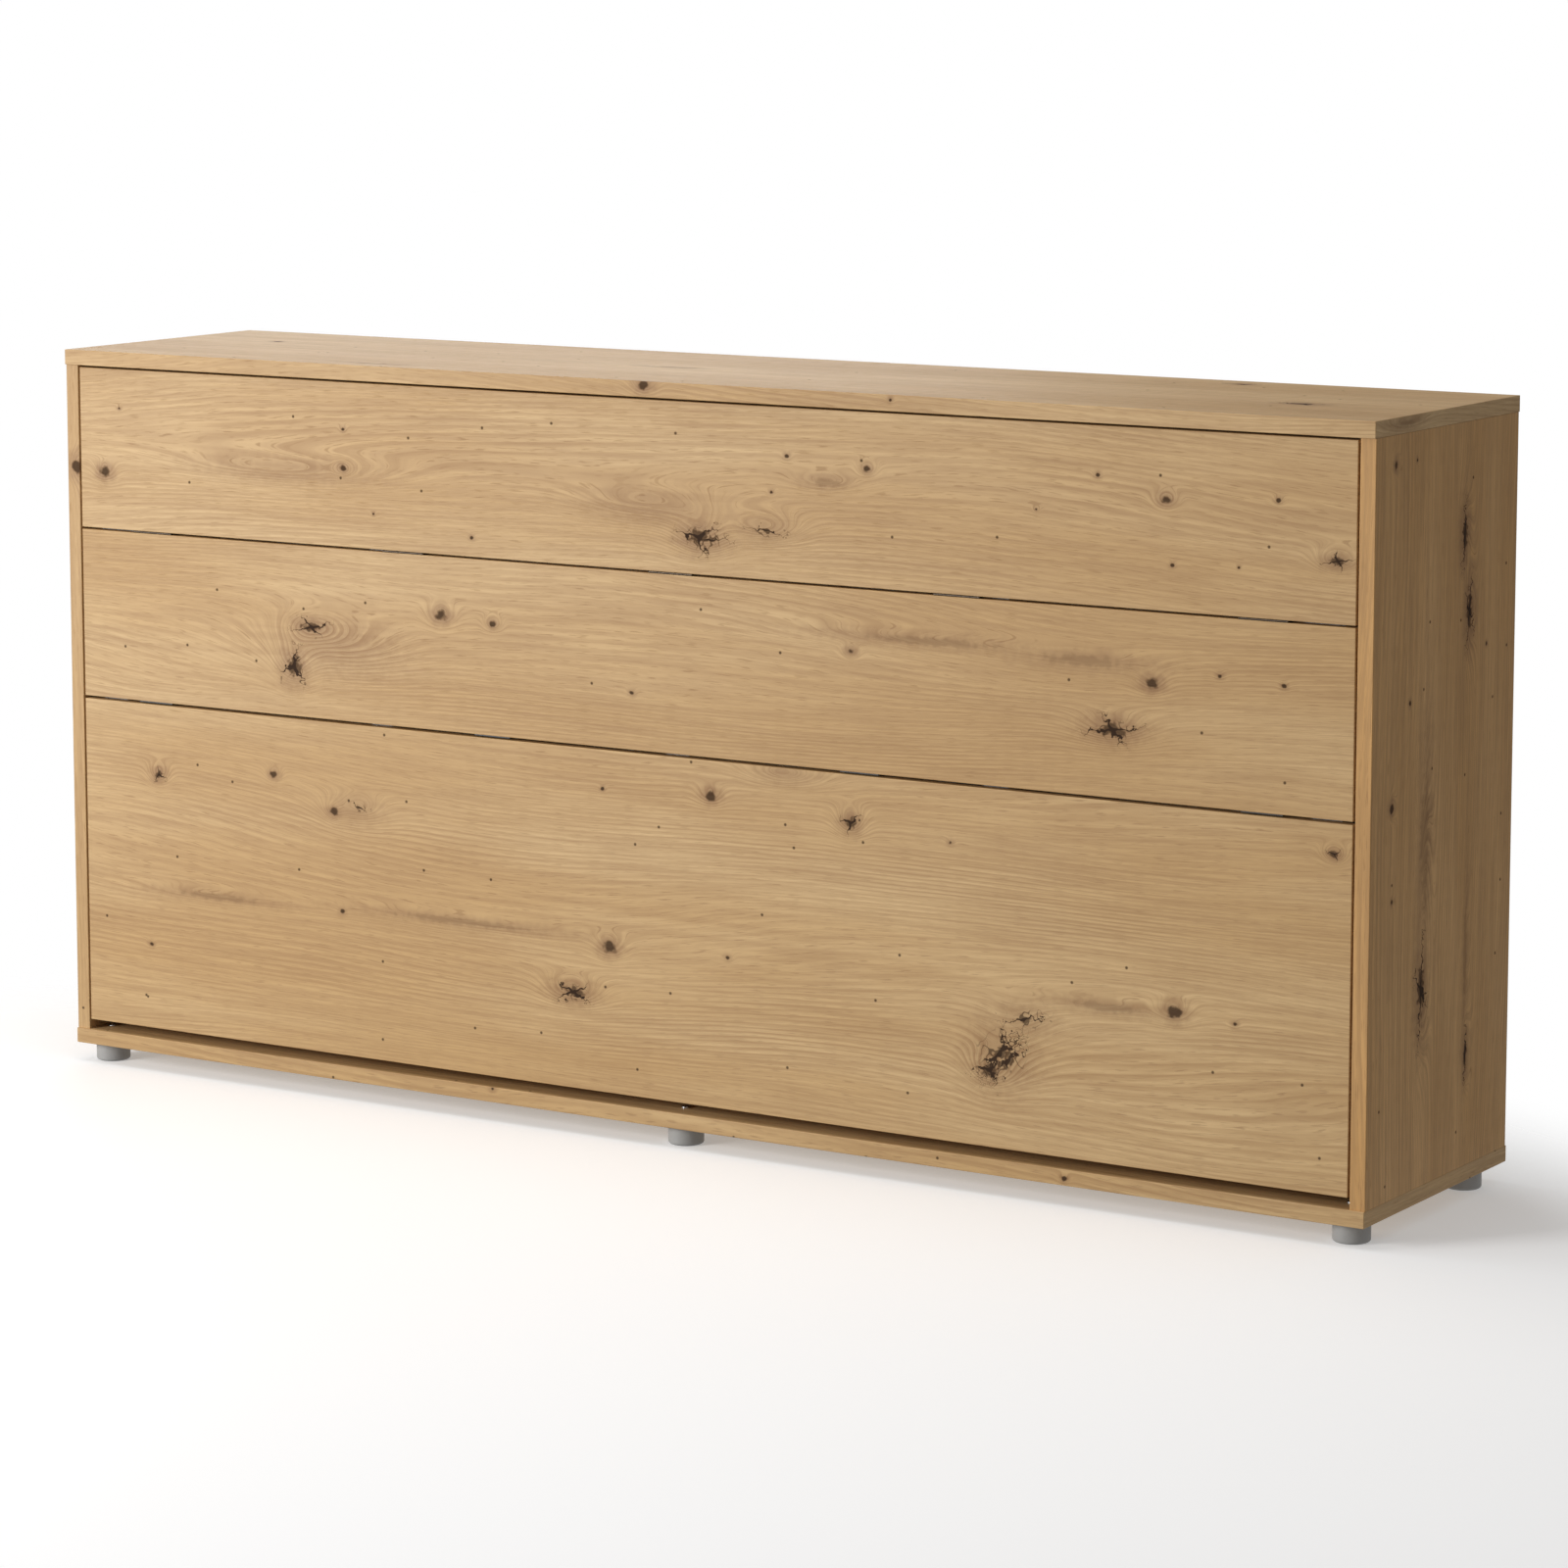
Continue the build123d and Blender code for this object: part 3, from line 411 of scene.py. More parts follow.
@cache
def oak_group() -> bpy.types.NodeTree:
    """Draw the group for plain-sawn oak: rings, fibres, pores and slow changes of tone.

    Its Place runs along the grain in x and across it in y.

    Returns:
        The group's tree, which is built only once.
    """
    takes = {"Place": Kind.PLACE, "Rings": Kind.VALUE, "Dark": Kind.VALUE, "Halo": Kind.VALUE}
    takes |= {name: Kind.COLOUR for name in ("Pale", "Warm", "Line", "Burnt", "Heartwood")}
    takes |= {"Line Strength": Kind.VALUE}
    gives = {"Color": Kind.COLOUR, "Roughness": Kind.VALUE, "Height": Kind.VALUE}
    g, given, out = new_group("Oak figure", takes, gives)
    along, across, _ = g.split(given["Place"])
    wood = Figure()

    def streaks(streak: Streak, side: Socket = across) -> Socket:
        """Return a streak's noise, with side in metres or in rings."""
        run, rise = g.math("MULTIPLY", along, streak.along), g.math("MULTIPLY", side, streak.across)
        return g.noise(g.join(run, rise), 1.0, streak.detail, flat=True)

    def shown(streak: Streak, side: Socket = across) -> Socket:
        """Return how far a streak shows, 0 to 1."""
        return g.spread(streaks(streak, side), streak.low, streak.high)

    sway = g.math("MULTIPLY", g.math("SUBTRACT", streaks(wood.sway), 0.5), wood.sway_by)
    ripple = g.math("MULTIPLY", g.math("SUBTRACT", streaks(wood.ripple), 0.5), wood.ripple_by)
    count = g.math("MULTIPLY_ADD", across, wood.rings, g.math("ADD", sway, ripple))
    count = g.math("ADD", count, given["Rings"])
    phase = g.math("FRACT", count)
    late = g.math("MULTIPLY", g.spread(phase, *wood.late), g.spread(phase, *wood.ring_end))
    strength = g.spread(
        streaks(wood.strength), wood.strength.low, wood.strength.high, wood.faintest_line, 1.0
    )
    line = g.math("MULTIPLY", g.math("MULTIPLY", late, strength), given["Line Strength"])
    line = g.math("MULTIPLY", line, g.spread(given["Halo"], *wood.halo_lines), clamp=True)
    fibre = shown(wood.fibre, count)
    brush = shown(wood.brush)
    pore = shown(wood.pore, count)
    pore = g.math("MULTIPLY", pore, g.spread(phase, *wood.early))
    colour = g.tint(shown(wood.tone), given["Pale"], given["Warm"])
    colour = g.tint(g.math("MULTIPLY", shown(wood.band), wood.band_by), colour, given["Warm"])
    colour = g.tint(line, colour, given["Line"])
    colour = g.tint(g.math("MULTIPLY", brush, wood.brush_by), colour, given["Line"])
    colour = g.tint(g.math("MULTIPLY", fibre, wood.fibre_by), colour, given["Line"])
    colour = g.tint(g.math("MULTIPLY", pore, wood.pore_by), colour, given["Heartwood"])
    colour = g.tint(g.math("MULTIPLY", given["Halo"], wood.halo_by), colour, given["Heartwood"])
    cells = {"Vector": given["Place"], "Scale": wood.pins}
    cell = g.add("ShaderNodeTexVoronoi", cells, voronoi_dimensions="2D")
    there = g.math("GREATER_THAN", cell.outputs["Color"], wood.pin_chance)
    pins = g.math("MULTIPLY", g.spread(cell.outputs["Distance"], *wood.pin), there)
    dark = g.math("MAXIMUM", given["Dark"], g.math("MULTIPLY", pins, wood.pin_dark))
    colour = g.tint(dark, colour, given["Burnt"])
    g.feed(out["Color"], colour)
    plain, line_matt, pore_matt, dark_matt = wood.matt
    matt = g.math("MULTIPLY_ADD", pore, pore_matt, g.math("MULTIPLY_ADD", line, line_matt, plain))
    g.feed(out["Roughness"], g.math("MULTIPLY_ADD", dark, dark_matt, matt, clamp=True))
    dip = g.math("MULTIPLY_ADD", line, wood.line_dip, g.math("MULTIPLY", pore, wood.pore_dip))
    dip = g.math("MAXIMUM", dip, g.math("MULTIPLY", dark, wood.dark_dip))
    g.feed(out["Height"], g.math("SUBTRACT", 1.0, dip))
    return g.tree


@dataclass(frozen=True)
class Mottle:
    """How a handled surface is drawn.

    Attributes:
        patch: The noise at which a worn patch starts, and at which it is full.
        speck: The same for a speck.
        patch_share, speck_share: Their parts in the wear.
        even: The wear at which the roughness is the finish's own.
        matt_by: How much the wear roughens the surface.
    """

    patch: Span = (0.35, 0.75)
    speck: Span = (0.3, 0.75)
    patch_share: float = 0.6
    speck_share: float = 0.4
    even: float = 0.3
    matt_by: float = 0.3


@cache
def mottle_group() -> bpy.types.NodeTree:
    """Draw the group for a surface that has been handled: soft patches, fine grain and specks.

    Returns:
        The group's tree, which is built only once.
    """
    takes = {"Place": Kind.PLACE, "Patch Scale": Kind.VALUE, "Grain Scale": Kind.VALUE}
    takes |= {"Base": Kind.COLOUR, "Worn": Kind.COLOUR, "Amount": Kind.VALUE, "Roughness": Kind.VALUE}
    gives = {"Color": Kind.COLOUR, "Roughness": Kind.VALUE, "Height": Kind.VALUE}
    g, given, out = new_group("Mottle", takes, gives)
    wear = Mottle()
    worn = g.spread(g.noise(given["Place"], given["Patch Scale"], 4.0), *wear.patch)
    speck = g.spread(g.noise(given["Place"], given["Grain Scale"], 2.0), *wear.speck)
    specks = g.math("MULTIPLY", speck, wear.speck_share)
    mask = g.math("MULTIPLY_ADD", worn, wear.patch_share, specks)
    mask = g.math("MULTIPLY", mask, given["Amount"])
    g.feed(out["Color"], g.tint(mask, given["Base"], given["Worn"]))
    shift = g.math("MULTIPLY", g.math("SUBTRACT", mask, wear.even), wear.matt_by)
    g.feed(out["Roughness"], g.math("ADD", given["Roughness"], shift, clamp=True))
    g.feed(out["Height"], speck)
    return g.tree


@dataclass(frozen=True)
class Threads:
    """How threads are drawn.

    Attributes:
        slub: The scale of the thick places in the threads, to the thread.
        patch: The scale of the slow changes over the cloth, to the thread.
        deep: The heights between which the gaps between the threads get dark.
        matt: The threads' roughness.
        deep_matt: What the gaps add to it.
    """

    slub: float = 0.21
    patch: float = 0.013
    deep: Span = (0.8, 0.1)
    matt: float = 0.82
    deep_matt: float = 0.1


@cache
def weave_group() -> bpy.types.NodeTree:
    """Draw the group for a plain weave or a knit: two sets of threads that cross.

    Its Place runs across the cloth in x and y, in threads.

    Returns:
        The group's tree, which is built only once.
    """
    takes = {"Place": Kind.PLACE, "Thread": Kind.COLOUR, "Shade": Kind.COLOUR, "Uneven": Kind.VALUE}
    gives = {"Color": Kind.COLOUR, "Roughness": Kind.VALUE, "Height": Kind.VALUE}
    g, given, out = new_group("Weave", takes, gives)
    x, y, _ = g.split(given["Place"])
    warp = g.math("ABSOLUTE", g.math("SINE", g.math("MULTIPLY", x, pi)))
    weft = g.math("ABSOLUTE", g.math("SINE", g.math("MULTIPLY", y, pi)))
    turn = g.math("ADD", g.math("FLOOR", x), g.math("FLOOR", y))
    over = g.math("FLOORED_MODULO", turn, 2.0)
    first = g.math("MULTIPLY", warp, over)
    second = g.math("MULTIPLY", weft, g.math("SUBTRACT", 1.0, over))
    height = g.math("ADD", first, second)
    yarn = Threads()
    slub = g.noise(given["Place"], yarn.slub, 3.0)
    patch = g.noise(given["Place"], yarn.patch, 3.0)
    drift = g.math("MULTIPLY", g.math("SUBTRACT", g.math("ADD", slub, patch), 1.0), given["Uneven"])
    deep = g.math("SUBTRACT", g.spread(height, *yarn.deep), drift, clamp=True)
    g.feed(out["Color"], g.tint(deep, given["Thread"], given["Shade"]))
    g.feed(out["Roughness"], g.math("MULTIPLY_ADD", deep, yarn.deep_matt, yarn.matt))
    g.feed(out["Height"], height)
    return g.tree


# --- finishes -------------------------------------------------------------------------------------


class Grain(Enum):
    """The axis that a board's grain runs along."""

    LENGTHWISE = "x"
    UPRIGHT = "z"


@dataclass(frozen=True)
class Knot:
    """One knot in a board's show face.

    Attributes:
        at: Its place along and across the grain, in metres.
        size: How far it reaches along and across the grain.
        pull: How many growth rings it pushes aside.
        heart: How dark its heart is, 0 to 1.
        split: How dark the cracks in it are, 0 to 1.
        stain: How brown the wood round it is, 0 to 1.
        arms: How many cracks run out from its heart.
        lean: The angle of the first crack from the grain, in degrees.
        thin: How many times thinner than usual the cracks are.
    """

    at: tuple[float, float]
    size: tuple[float, float] = (0.012, 0.010)
    pull: float = 1.2
    heart: float = 0.6
    split: float = 0.0
    stain: float = 0.6
    arms: int = 3
    lean: float = 30.0
    thin: float = 1.0

    def twist(self) -> float:
        """Return what turns the cracks to their angle on the knot's own stretched scale."""
        lean = radians(self.lean)
        return -self.arms / 2 * atan2(sin(lean) / self.size[1], cos(lean) / self.size[0])


def pin(along: float, across: float, size: float = 0.009) -> Knot:
    """Return a pin knot, a small dark dot."""
    return Knot((along, across), (size, size * 0.85), pull=0.8, heart=0.86)


def eye(along: float, across: float, size: float = 0.02) -> Knot:
    """Return an eye knot: a brown heart with rings round it."""
    return Knot((along, across), (size * 1.35, size), pull=3.2, heart=0.8, stain=0.85)


def crack(
    along: float, across: float, length: float, height: float, arms: int = 3, lean: float = 30.0
) -> Knot:
    """Return a large cracked knot, torn open at its heart."""
    torn = {"split": 0.96, "stain": 0.8, "arms": arms, "lean": lean}
    return Knot((along, across), (length, height), pull=5.5, heart=0.0, **torn)


def check(along: float, across: float, length: float, height: float, lean: float) -> Knot:
    """Return a single dark check that runs through the wood at an angle."""
    line = {"split": 0.95, "stain": 0.5, "arms": 2, "lean": lean, "thin": 2.2}
    return Knot((along, across), (length, height), pull=1.5, heart=0.0, **line)


def swirl(along: float, across: float, length: float, height: float) -> Knot:
    """Return a sound swirl of rings with no dark heart."""
    return Knot((along, across), (length, height), pull=5.0, heart=0.0, stain=0.42)


def streak(along: float, across: float, length: float, height: float) -> Knot:
    """Return a long brown streak in the wood."""
    return Knot((along, across), (length, height), pull=2.2, heart=0.16, stain=0.5)


def new_material(name: str) -> tuple[bpy.types.Material, Graph, bpy.types.Node]:
    """Start a material.

    Args:
        name: Its name.

    Returns:
        The material, its graph and its Principled shader, already joined to the output.
    """
    material = bpy.data.materials.new(name)
    material.use_nodes = True
    material.node_tree.nodes.clear()
    g = Graph(material.node_tree)
    shader = g.add("ShaderNodeBsdfPrincipled")
    output = g.add("ShaderNodeOutputMaterial")
    g.feed(output.inputs["Surface"], shader.outputs[0])
    return material, g, shader


def wire(g: Graph, shader: bpy.types.Node, source: bpy.types.Node, bump: float, depth: float) -> None:
    """Join a group's colour, roughness and height to the shader.

    Args:
        g: The material's graph.
        shader: Its Principled shader.
        source: The group node.
        bump: The bump's strength.
        depth: The bump's depth in metres.
    """
    g.feed(shader.inputs["Base Color"], source.outputs["Color"])
    g.feed(shader.inputs["Roughness"], source.outputs["Roughness"])
    feeds = {"Height": source.outputs["Height"], "Strength": bump, "Distance": depth}
    g.feed(shader.inputs["Normal"], g.add("ShaderNodeBump", feeds).outputs[0])


@dataclass(frozen=True)
class Oak:
    """Knotty oak laminate on one board.

    Attributes:
        name: The material's name.
        grain: The way that the grain runs.
        start: Where on an endless sheet of veneer this board was cut, along and across.
        knots: Its knots.
        pale, warm, line, heartwood, burnt: Its colours, from the palest to the darkest.
        line_strength: How plainly the growth rings show.
        specular: How strongly it reflects.
        bump, depth: The strength of its relief, and its depth in metres.
    """

    name: str
    grain: Grain = Grain.LENGTHWISE
    start: tuple[float, float] = (0.0, 0.0)
    knots: tuple[Knot, ...] = ()
    pale: Colour = (0.69, 0.470, 0.232)
    warm: Colour = (0.585, 0.365, 0.155)
    line: Colour = (0.36, 0.195, 0.078)
    heartwood: Colour = (0.22, 0.098, 0.038)
    burnt: Colour = (0.026, 0.012, 0.006)
    line_strength: float = 0.46
    specular: float = 0.3
    bump: float = 0.35
    depth: float = 0.0004

    def place(self, g: Graph) -> Socket:
        """Return the place on the board, along the grain in x and across it in y.

        The two directions across the grain are added up, so that the figure turns over a board's
        edge with no break, and the board's ends read it crosswise.

        Args:
            g: The material's graph.

        Returns:
            The place.
        """
        source = g.add("ShaderNodeTexCoord")
        x, y, z = g.split(source.outputs["Object"])
        nx, _, nz = g.split(source.outputs["Normal"])
        if self.grain is Grain.LENGTHWISE:
            run, side, end = x, z, nx
        else:
            run, side, end = z, x, nz
        face = g.join(run, g.math("ADD", side, y))
        at_end = g.math("GREATER_THAN", g.math("ABSOLUTE", end), 0.7)
        return g.choose(at_end, face, g.join(y, side))

    @cache
    def make(self) -> bpy.types.Material:
        """Build the material.

        Returns:
            The material, which every piece of this finish shares.
        """
        material, g, shader = new_material(self.name)
        place = self.place(g)
        shape = KnotShape()
        ragged = g.math("SUBTRACT", g.noise(place, shape.ragged_scale, flat=True), 0.5)
        veins = g.math("SUBTRACT", g.noise(place, shape.vein_scale, flat=True), 0.5)
        veins = g.math("ABSOLUTE", veins)
        rings, dark, halo = 0.0, 0.0, 0.0
        for knot in self.knots:
            feeds = {"Place": place, "Centre": (*knot.at, 0.0), "Size": (*knot.size, 1.0)}
            feeds |= {"Pull": knot.pull, "Heart": knot.heart, "Split": knot.split, "Stain": knot.stain}
            feeds |= {"Arms": knot.arms / 2, "Twist": knot.twist(), "Thin": knot.thin}
            feeds |= {"Ragged": ragged, "Veins": veins}
            feeds |= {"Rings": rings, "Dark": dark, "Halo": halo}
            node = g.group(knot_group(), feeds)
            rings, dark, halo = node.outputs["Rings"], node.outputs["Dark"], node.outputs["Halo"]
        feeds = {"Place": g.vector("ADD", place, (*self.start, 0.0)), "Rings": rings, "Dark": dark}
        feeds |= {"Halo": halo, "Pale": self.pale, "Warm": self.warm, "Line": self.line}
        feeds |= {"Burnt": self.burnt, "Heartwood": self.heartwood, "Line Strength": self.line_strength}
        figure = g.group(oak_group(), feeds)
        wire(g, shader, figure, self.bump, self.depth)
        shader.inputs["Specular IOR Level"].default_value = self.specular
        return material


@dataclass(frozen=True)
class Handled:
    """A painted, moulded, plated or pressed surface with soft patches and a fine grain.

    Attributes:
        name: The material's name.
        base: Its colour.
        worn: Its colour where it is rubbed or uneven.
        roughness: Its roughness.
        metallic: 1 for bare metal.
        coat: Its clear coat's weight.
        amount: How far the worn colour shows.
        patch: The patches' scale.
        grain: The grain's scale.
        stretch: How the grain is squeezed along each axis, as brushing does.
        bump, depth: The strength of the grain's relief, and its depth in metres.
    """

    name: str
    base: Colour
    worn: Colour
    roughness: float = 0.45
    metallic: float = 0.0
    coat: float = 0.0
    amount: float = 0.6
    patch: float = 14.0
    grain: float = 420.0
    stretch: Colour = (1.0, 1.0, 1.0)
    bump: float = 0.15
    depth: float = 0.0003

    @cache
    def make(self) -> bpy.types.Material:
        """Build the material.

        Returns:
            The material, which every piece of this finish shares.
        """
        material, g, shader = new_material(self.name)
        source = g.add("ShaderNodeTexCoord").outputs["Object"]
        place = g.add("ShaderNodeMapping", {"Vector": source, "Scale": self.stretch}).outputs[0]
        feeds = {"Place": place, "Patch Scale": self.patch, "Grain Scale": self.grain}
        feeds |= {"Base": self.base, "Worn": self.worn, "Amount": self.amount}
        feeds |= {"Roughness": self.roughness}
        wire(g, shader, g.group(mottle_group(), feeds), self.bump, self.depth)
        shader.inputs["Metallic"].default_value = self.metallic
        shader.inputs["Coat Weight"].default_value = self.coat
        return material


class Lay(Enum):
    """The pair of directions that a cloth's threads follow."""

    PANEL = "the mattress's wide faces, along x and z"
    BORDER = "the mattress's sides, with x and z added up against y"
    STRIP = "a strap's own width and length"


@dataclass(frozen=True)
class Cloth:
    """A woven or knitted cloth.

    Attributes:
        name: The material's name.
        thread: The threads' colour.
        shade: The colour between the threads.
        pitch: The threads' pitch in metres, across and along.
        lay: The directions that the threads follow.
        uneven: How uneven the threads are.
        sheen: The nap's sheen.
        bump, depth: The strength of the threads' relief, and its depth in metres.
    """

    name: str
    thread: Colour
    shade: Colour
    pitch: tuple[float, float] = (0.0016, 0.0016)
    lay: Lay = Lay.PANEL
    uneven: float = 0.5
    sheen: float = 0.2
    bump: float = 0.5
    depth: float = 0.0005

    def place(self, g: Graph) -> Socket:
        """Return the place on the cloth in threads.

        Args:
            g: The material's graph.

        Returns:
            The place.
        """
        source = g.add("ShaderNodeTexCoord")
        if self.lay is Lay.STRIP:
            x, y, _ = g.split(source.outputs["UV"])
        else:
            across, thick, up = g.split(source.outputs["Object"])
            x, y = (across, up) if self.lay is Lay.PANEL else (g.math("ADD", across, up), thick)
        return g.join(g.math("DIVIDE", x, self.pitch[0]), g.math("DIVIDE", y, self.pitch[1]))

    @cache
    def make(self) -> bpy.types.Material:
        """Build the material.

        Returns:
            The material, which every piece of this finish shares.
        """
        material, g, shader = new_material(self.name)
        feeds = {"Place": self.place(g), "Thread": self.thread, "Shade": self.shade}
        feeds |= {"Uneven": self.uneven}
        wire(g, shader, g.group(weave_group(), feeds), self.bump, self.depth)
        shader.inputs["Sheen Weight"].default_value = self.sheen
        return material


BIRCH = Oak(
    name="birch_slats", grain=Grain.UPRIGHT, start=(3.1, 7.7), pale=(0.74, 0.60, 0.42),
    warm=(0.66, 0.50, 0.32), line=(0.50, 0.34, 0.19), heartwood=(0.42, 0.27, 0.15),
    line_strength=0.22,
)
BACK_BOARD = Handled(
    "back_board", (0.60, 0.52, 0.42), (0.50, 0.41, 0.31), roughness=0.75, amount=0.8, patch=9.0,
    grain=700.0, stretch=(1.0, 1.0, 0.25), bump=0.3,
)
FOOT_PLASTIC = Handled(
    "foot_plastic", (0.37, 0.36, 0.345), (0.43, 0.42, 0.40), roughness=0.5, patch=60.0, grain=1500.0,
)
FRAME_PAINT = Handled(
    "frame_paint", (0.36, 0.37, 0.385), (0.44, 0.45, 0.46), roughness=0.42, patch=10.0, grain=900.0,
    coat=0.1, bump=0.2,
)
ZINC_STEEL = Handled(
    "zinc_steel", (0.66, 0.67, 0.69), (0.50, 0.51, 0.53), roughness=0.32, metallic=1.0, patch=70.0,
    grain=1100.0, stretch=(1.0, 1.0, 0.12),
)
BRONZED_STEEL = Handled(
    "bronzed_steel", (0.05, 0.036, 0.026), (0.10, 0.075, 0.055), roughness=0.4, metallic=0.8,
    patch=90.0, grain=1300.0,
)
SPRING_BLACK = Handled(
    "spring_black", (0.022, 0.022, 0.024), (0.05, 0.05, 0.052), roughness=0.3, coat=0.4, patch=30.0,
    grain=1200.0, bump=0.08,
)
CHROME_ROD = Handled(
    "chrome_rod", (0.82, 0.83, 0.85), (0.70, 0.71, 0.73), roughness=0.09, metallic=1.0, amount=0.5,
    patch=60.0, grain=900.0, stretch=(1.0, 1.0, 0.1), bump=0.03,
)
BLACK_RUBBER = Handled(
    "black_rubber", (0.035, 0.035, 0.036), (0.075, 0.073, 0.07), roughness=0.75, patch=45.0,
    grain=1600.0, bump=0.3,
)
WHITE_NYLON = Handled(
    "white_nylon", (0.78, 0.77, 0.73), (0.68, 0.66, 0.61), roughness=0.42, patch=50.0, grain=1200.0,
)
TICKING = Cloth("mattress_ticking", (0.80, 0.79, 0.76), (0.60, 0.59, 0.56))
BORDER_MESH = Cloth(
    "mattress_border", (0.60, 0.61, 0.62), (0.33, 0.34, 0.355), (0.0028, 0.0028), Lay.BORDER, 0.3,
)
PIPING = Cloth(
    "mattress_piping", (0.50, 0.51, 0.53), (0.33, 0.34, 0.36), (0.0012, 0.0012), Lay.BORDER,
)
WEBBING = Cloth(
    "strap_webbing", (0.085, 0.087, 0.095), (0.02, 0.02, 0.023), (0.0022, 0.0013), Lay.STRIP, 0.4, 0.35,
)
# Black nylon for the buckles; on the leg glides this black is painted shade that keeps the seam dark.
BLACK_NYLON_AND_SEAM_SHADE = Handled(
    "black_nylon", (0.03, 0.03, 0.032), (0.06, 0.06, 0.062), roughness=0.42, patch=70.0, grain=1500.0,
)


# --- modelling ------------------------------------------------------------------------------------


def dress(material: bpy.types.Material, *nodes: str) -> None:
    """Give frame nodes a finish.

    Args:
        material: The finish.
        *nodes: The nodes' names.
    """
    for name in nodes:
        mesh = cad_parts[name].data
        mesh.materials.clear()
        mesh.materials.append(material)


def deselect() -> None:
    """Leave every object unselected."""
    bpy.ops.object.select_all(action="DESELECT")


def pick(piece: bpy.types.Object) -> None:
    """Make a piece the one selected and active object.

    Args:
        piece: The piece.
    """
    deselect()
    piece.select_set(True)
    bpy.context.view_layer.objects.active = piece


def block(name: str, low: Sequence[float], high: Sequence[float]) -> bpy.types.Object:
    """Add a box between two corners, with its place in its mesh.

    Args:
        name: The piece's name.
        low: The lowest corner.
        high: The highest corner.

    Returns:
        The new piece.
    """
    deselect()
    low, high = Vector(low), Vector(high)
    bpy.ops.mesh.primitive_cube_add(size=1, location=(low + high) / 2, scale=high - low)
    piece = bpy.context.object
    piece.name = piece.data.name = name
    bpy.ops.object.transform_apply(location=True, rotation=True, scale=True)
    return piece


def apply_modifier(piece: bpy.types.Object, kind: str, **settings: object) -> None:
    """Add a modifier, set it up and apply it.

    Args:
        piece: The piece.
        kind: The modifier's type.
        **settings: Its properties.
    """
    pick(piece)
    modifier = piece.modifiers.new(kind.lower(), kind)
    for name, value in settings.items():
        setattr(modifier, name, value)
    bpy.ops.object.modifier_apply(modifier=modifier.name)


def smooth(piece: bpy.types.Object, angle: float = 35.0) -> None:
    """Shade a piece smooth, except over edges sharper than an angle in degrees."""
    pick(piece)
    bpy.ops.object.shade_smooth_by_angle(angle=radians(angle))


def round_edges(piece: bpy.types.Object, width: float, segments: int) -> None:
    """Round all of a new piece's edges in edit mode.

    Args:
        piece: The piece.
        width: How far the rounding reaches.
        segments: Its number of steps.
    """
    pick(piece)
    bpy.ops.object.mode_set(mode="EDIT")
    bpy.ops.mesh.select_all(action="SELECT")
    bpy.ops.mesh.bevel(offset=width, segments=segments, affect="EDGES")
    bpy.ops.object.mode_set(mode="OBJECT")


def copy_of(piece: bpy.types.Object, name: str, change: Matrix) -> bpy.types.Object:
    """Copy a piece with a mesh of its own, moved or turned by a matrix.

    Args:
        piece: The finished piece.
        name: The copy's name.
        change: What is done to its mesh.

    Returns:
        The copy.
    """
    twin = piece.copy()
    twin.data = piece.data.copy()
    twin.name = twin.data.name = name
    twin.data.transform(change)
    bpy.context.scene.collection.objects.link(twin)
    return twin


def settle(piece: bpy.types.Object, material: bpy.types.Material, body: str) -> bpy.types.Object:
    """Give a new piece its first finish and its body.

    Args:
        piece: The piece.
        material: Its finish.
        body: The body that it rides on.

    Returns:
        The piece.
    """
    if not piece.data.materials:
        piece.data.materials.append(material)
    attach(piece, body)
    return piece


def strip(name: str, path: Sequence[Vector], width: float, thickness: float) -> bpy.types.Object:
    """Make a flat strap that follows a path in an upright plane across X.

    The strap's own width and length go into its UV map, in metres.

    Args:
        name: The piece's name.
        path: Its middle line.
        width: Its width along X.
        thickness: Its thickness.

    Returns:
        The strap.
    """
    deselect()
    bpy.ops.mesh.primitive_plane_add(size=1, location=path[0])
    piece = bpy.context.object
    piece.name = piece.data.name = name
    bpy.ops.object.mode_set(mode="EDIT")
    bpy.ops.mesh.merge(type="CENTER")
    bpy.ops.mesh.extrude_region_move(TRANSFORM_OT_translate={"value": (width, 0, 0)})
    bpy.ops.mesh.select_all(action="SELECT")
    bpy.ops.transform.translate(value=(-width / 2, 0, 0))
    for here, there in zip(path, path[1:]):
        bpy.ops.mesh.extrude_region_move(TRANSFORM_OT_translate={"value": there - here})
    bpy.ops.object.mode_set(mode="OBJECT")
    bpy.ops.object.transform_apply(location=True, rotation=True, scale=True)
    lengths = [0.0]
    for here, there in zip(path, path[1:]):
        lengths.append(lengths[-1] + (there - here).length)
    layer = piece.data.uv_layers.new(name="strap")
    for loop in piece.data.loops:
        spot = piece.data.vertices[loop.vertex_index].co
        nearest = min(range(len(path)), key=lambda i: hypot(path[i].y - spot.y, path[i].z - spot.z))
        layer.data[loop.index].uv = (spot.x - path[0].x, lengths[nearest])
    pick(piece)
    bpy.ops.object.mode_set(mode="EDIT")
    bpy.ops.mesh.select_all(action="SELECT")
    bpy.ops.mesh.normals_make_consistent(inside=False)
    bpy.ops.object.mode_set(mode="OBJECT")
    apply_modifier(piece, "SOLIDIFY", thickness=thickness, offset=0.0)
    apply_modifier(piece, "BEVEL", width=thickness * 0.3, segments=2, limit_method="ANGLE")
    smooth(piece)
    return piece


def bend(corner: Sequence[float], start: float, radius: float, steps: int = 6) -> list[Vector]:
    """Return the points of a quarter turn in an upright plane across X.

    Args:
        corner: The turn's centre.
        start: The angle it starts at, in degrees, from +Y towards +Z.
        radius: Its radius.
        steps: Its number of steps.

    Returns:
        The points.
    """
    x, y, z = corner
    turns = [radians(start + 90 * i / steps) for i in range(steps + 1)]
    return [Vector((x, y + radius * cos(a), z + radius * sin(a))) for a in turns]


# --- sub-assemblies -------------------------------------------------------------------------------


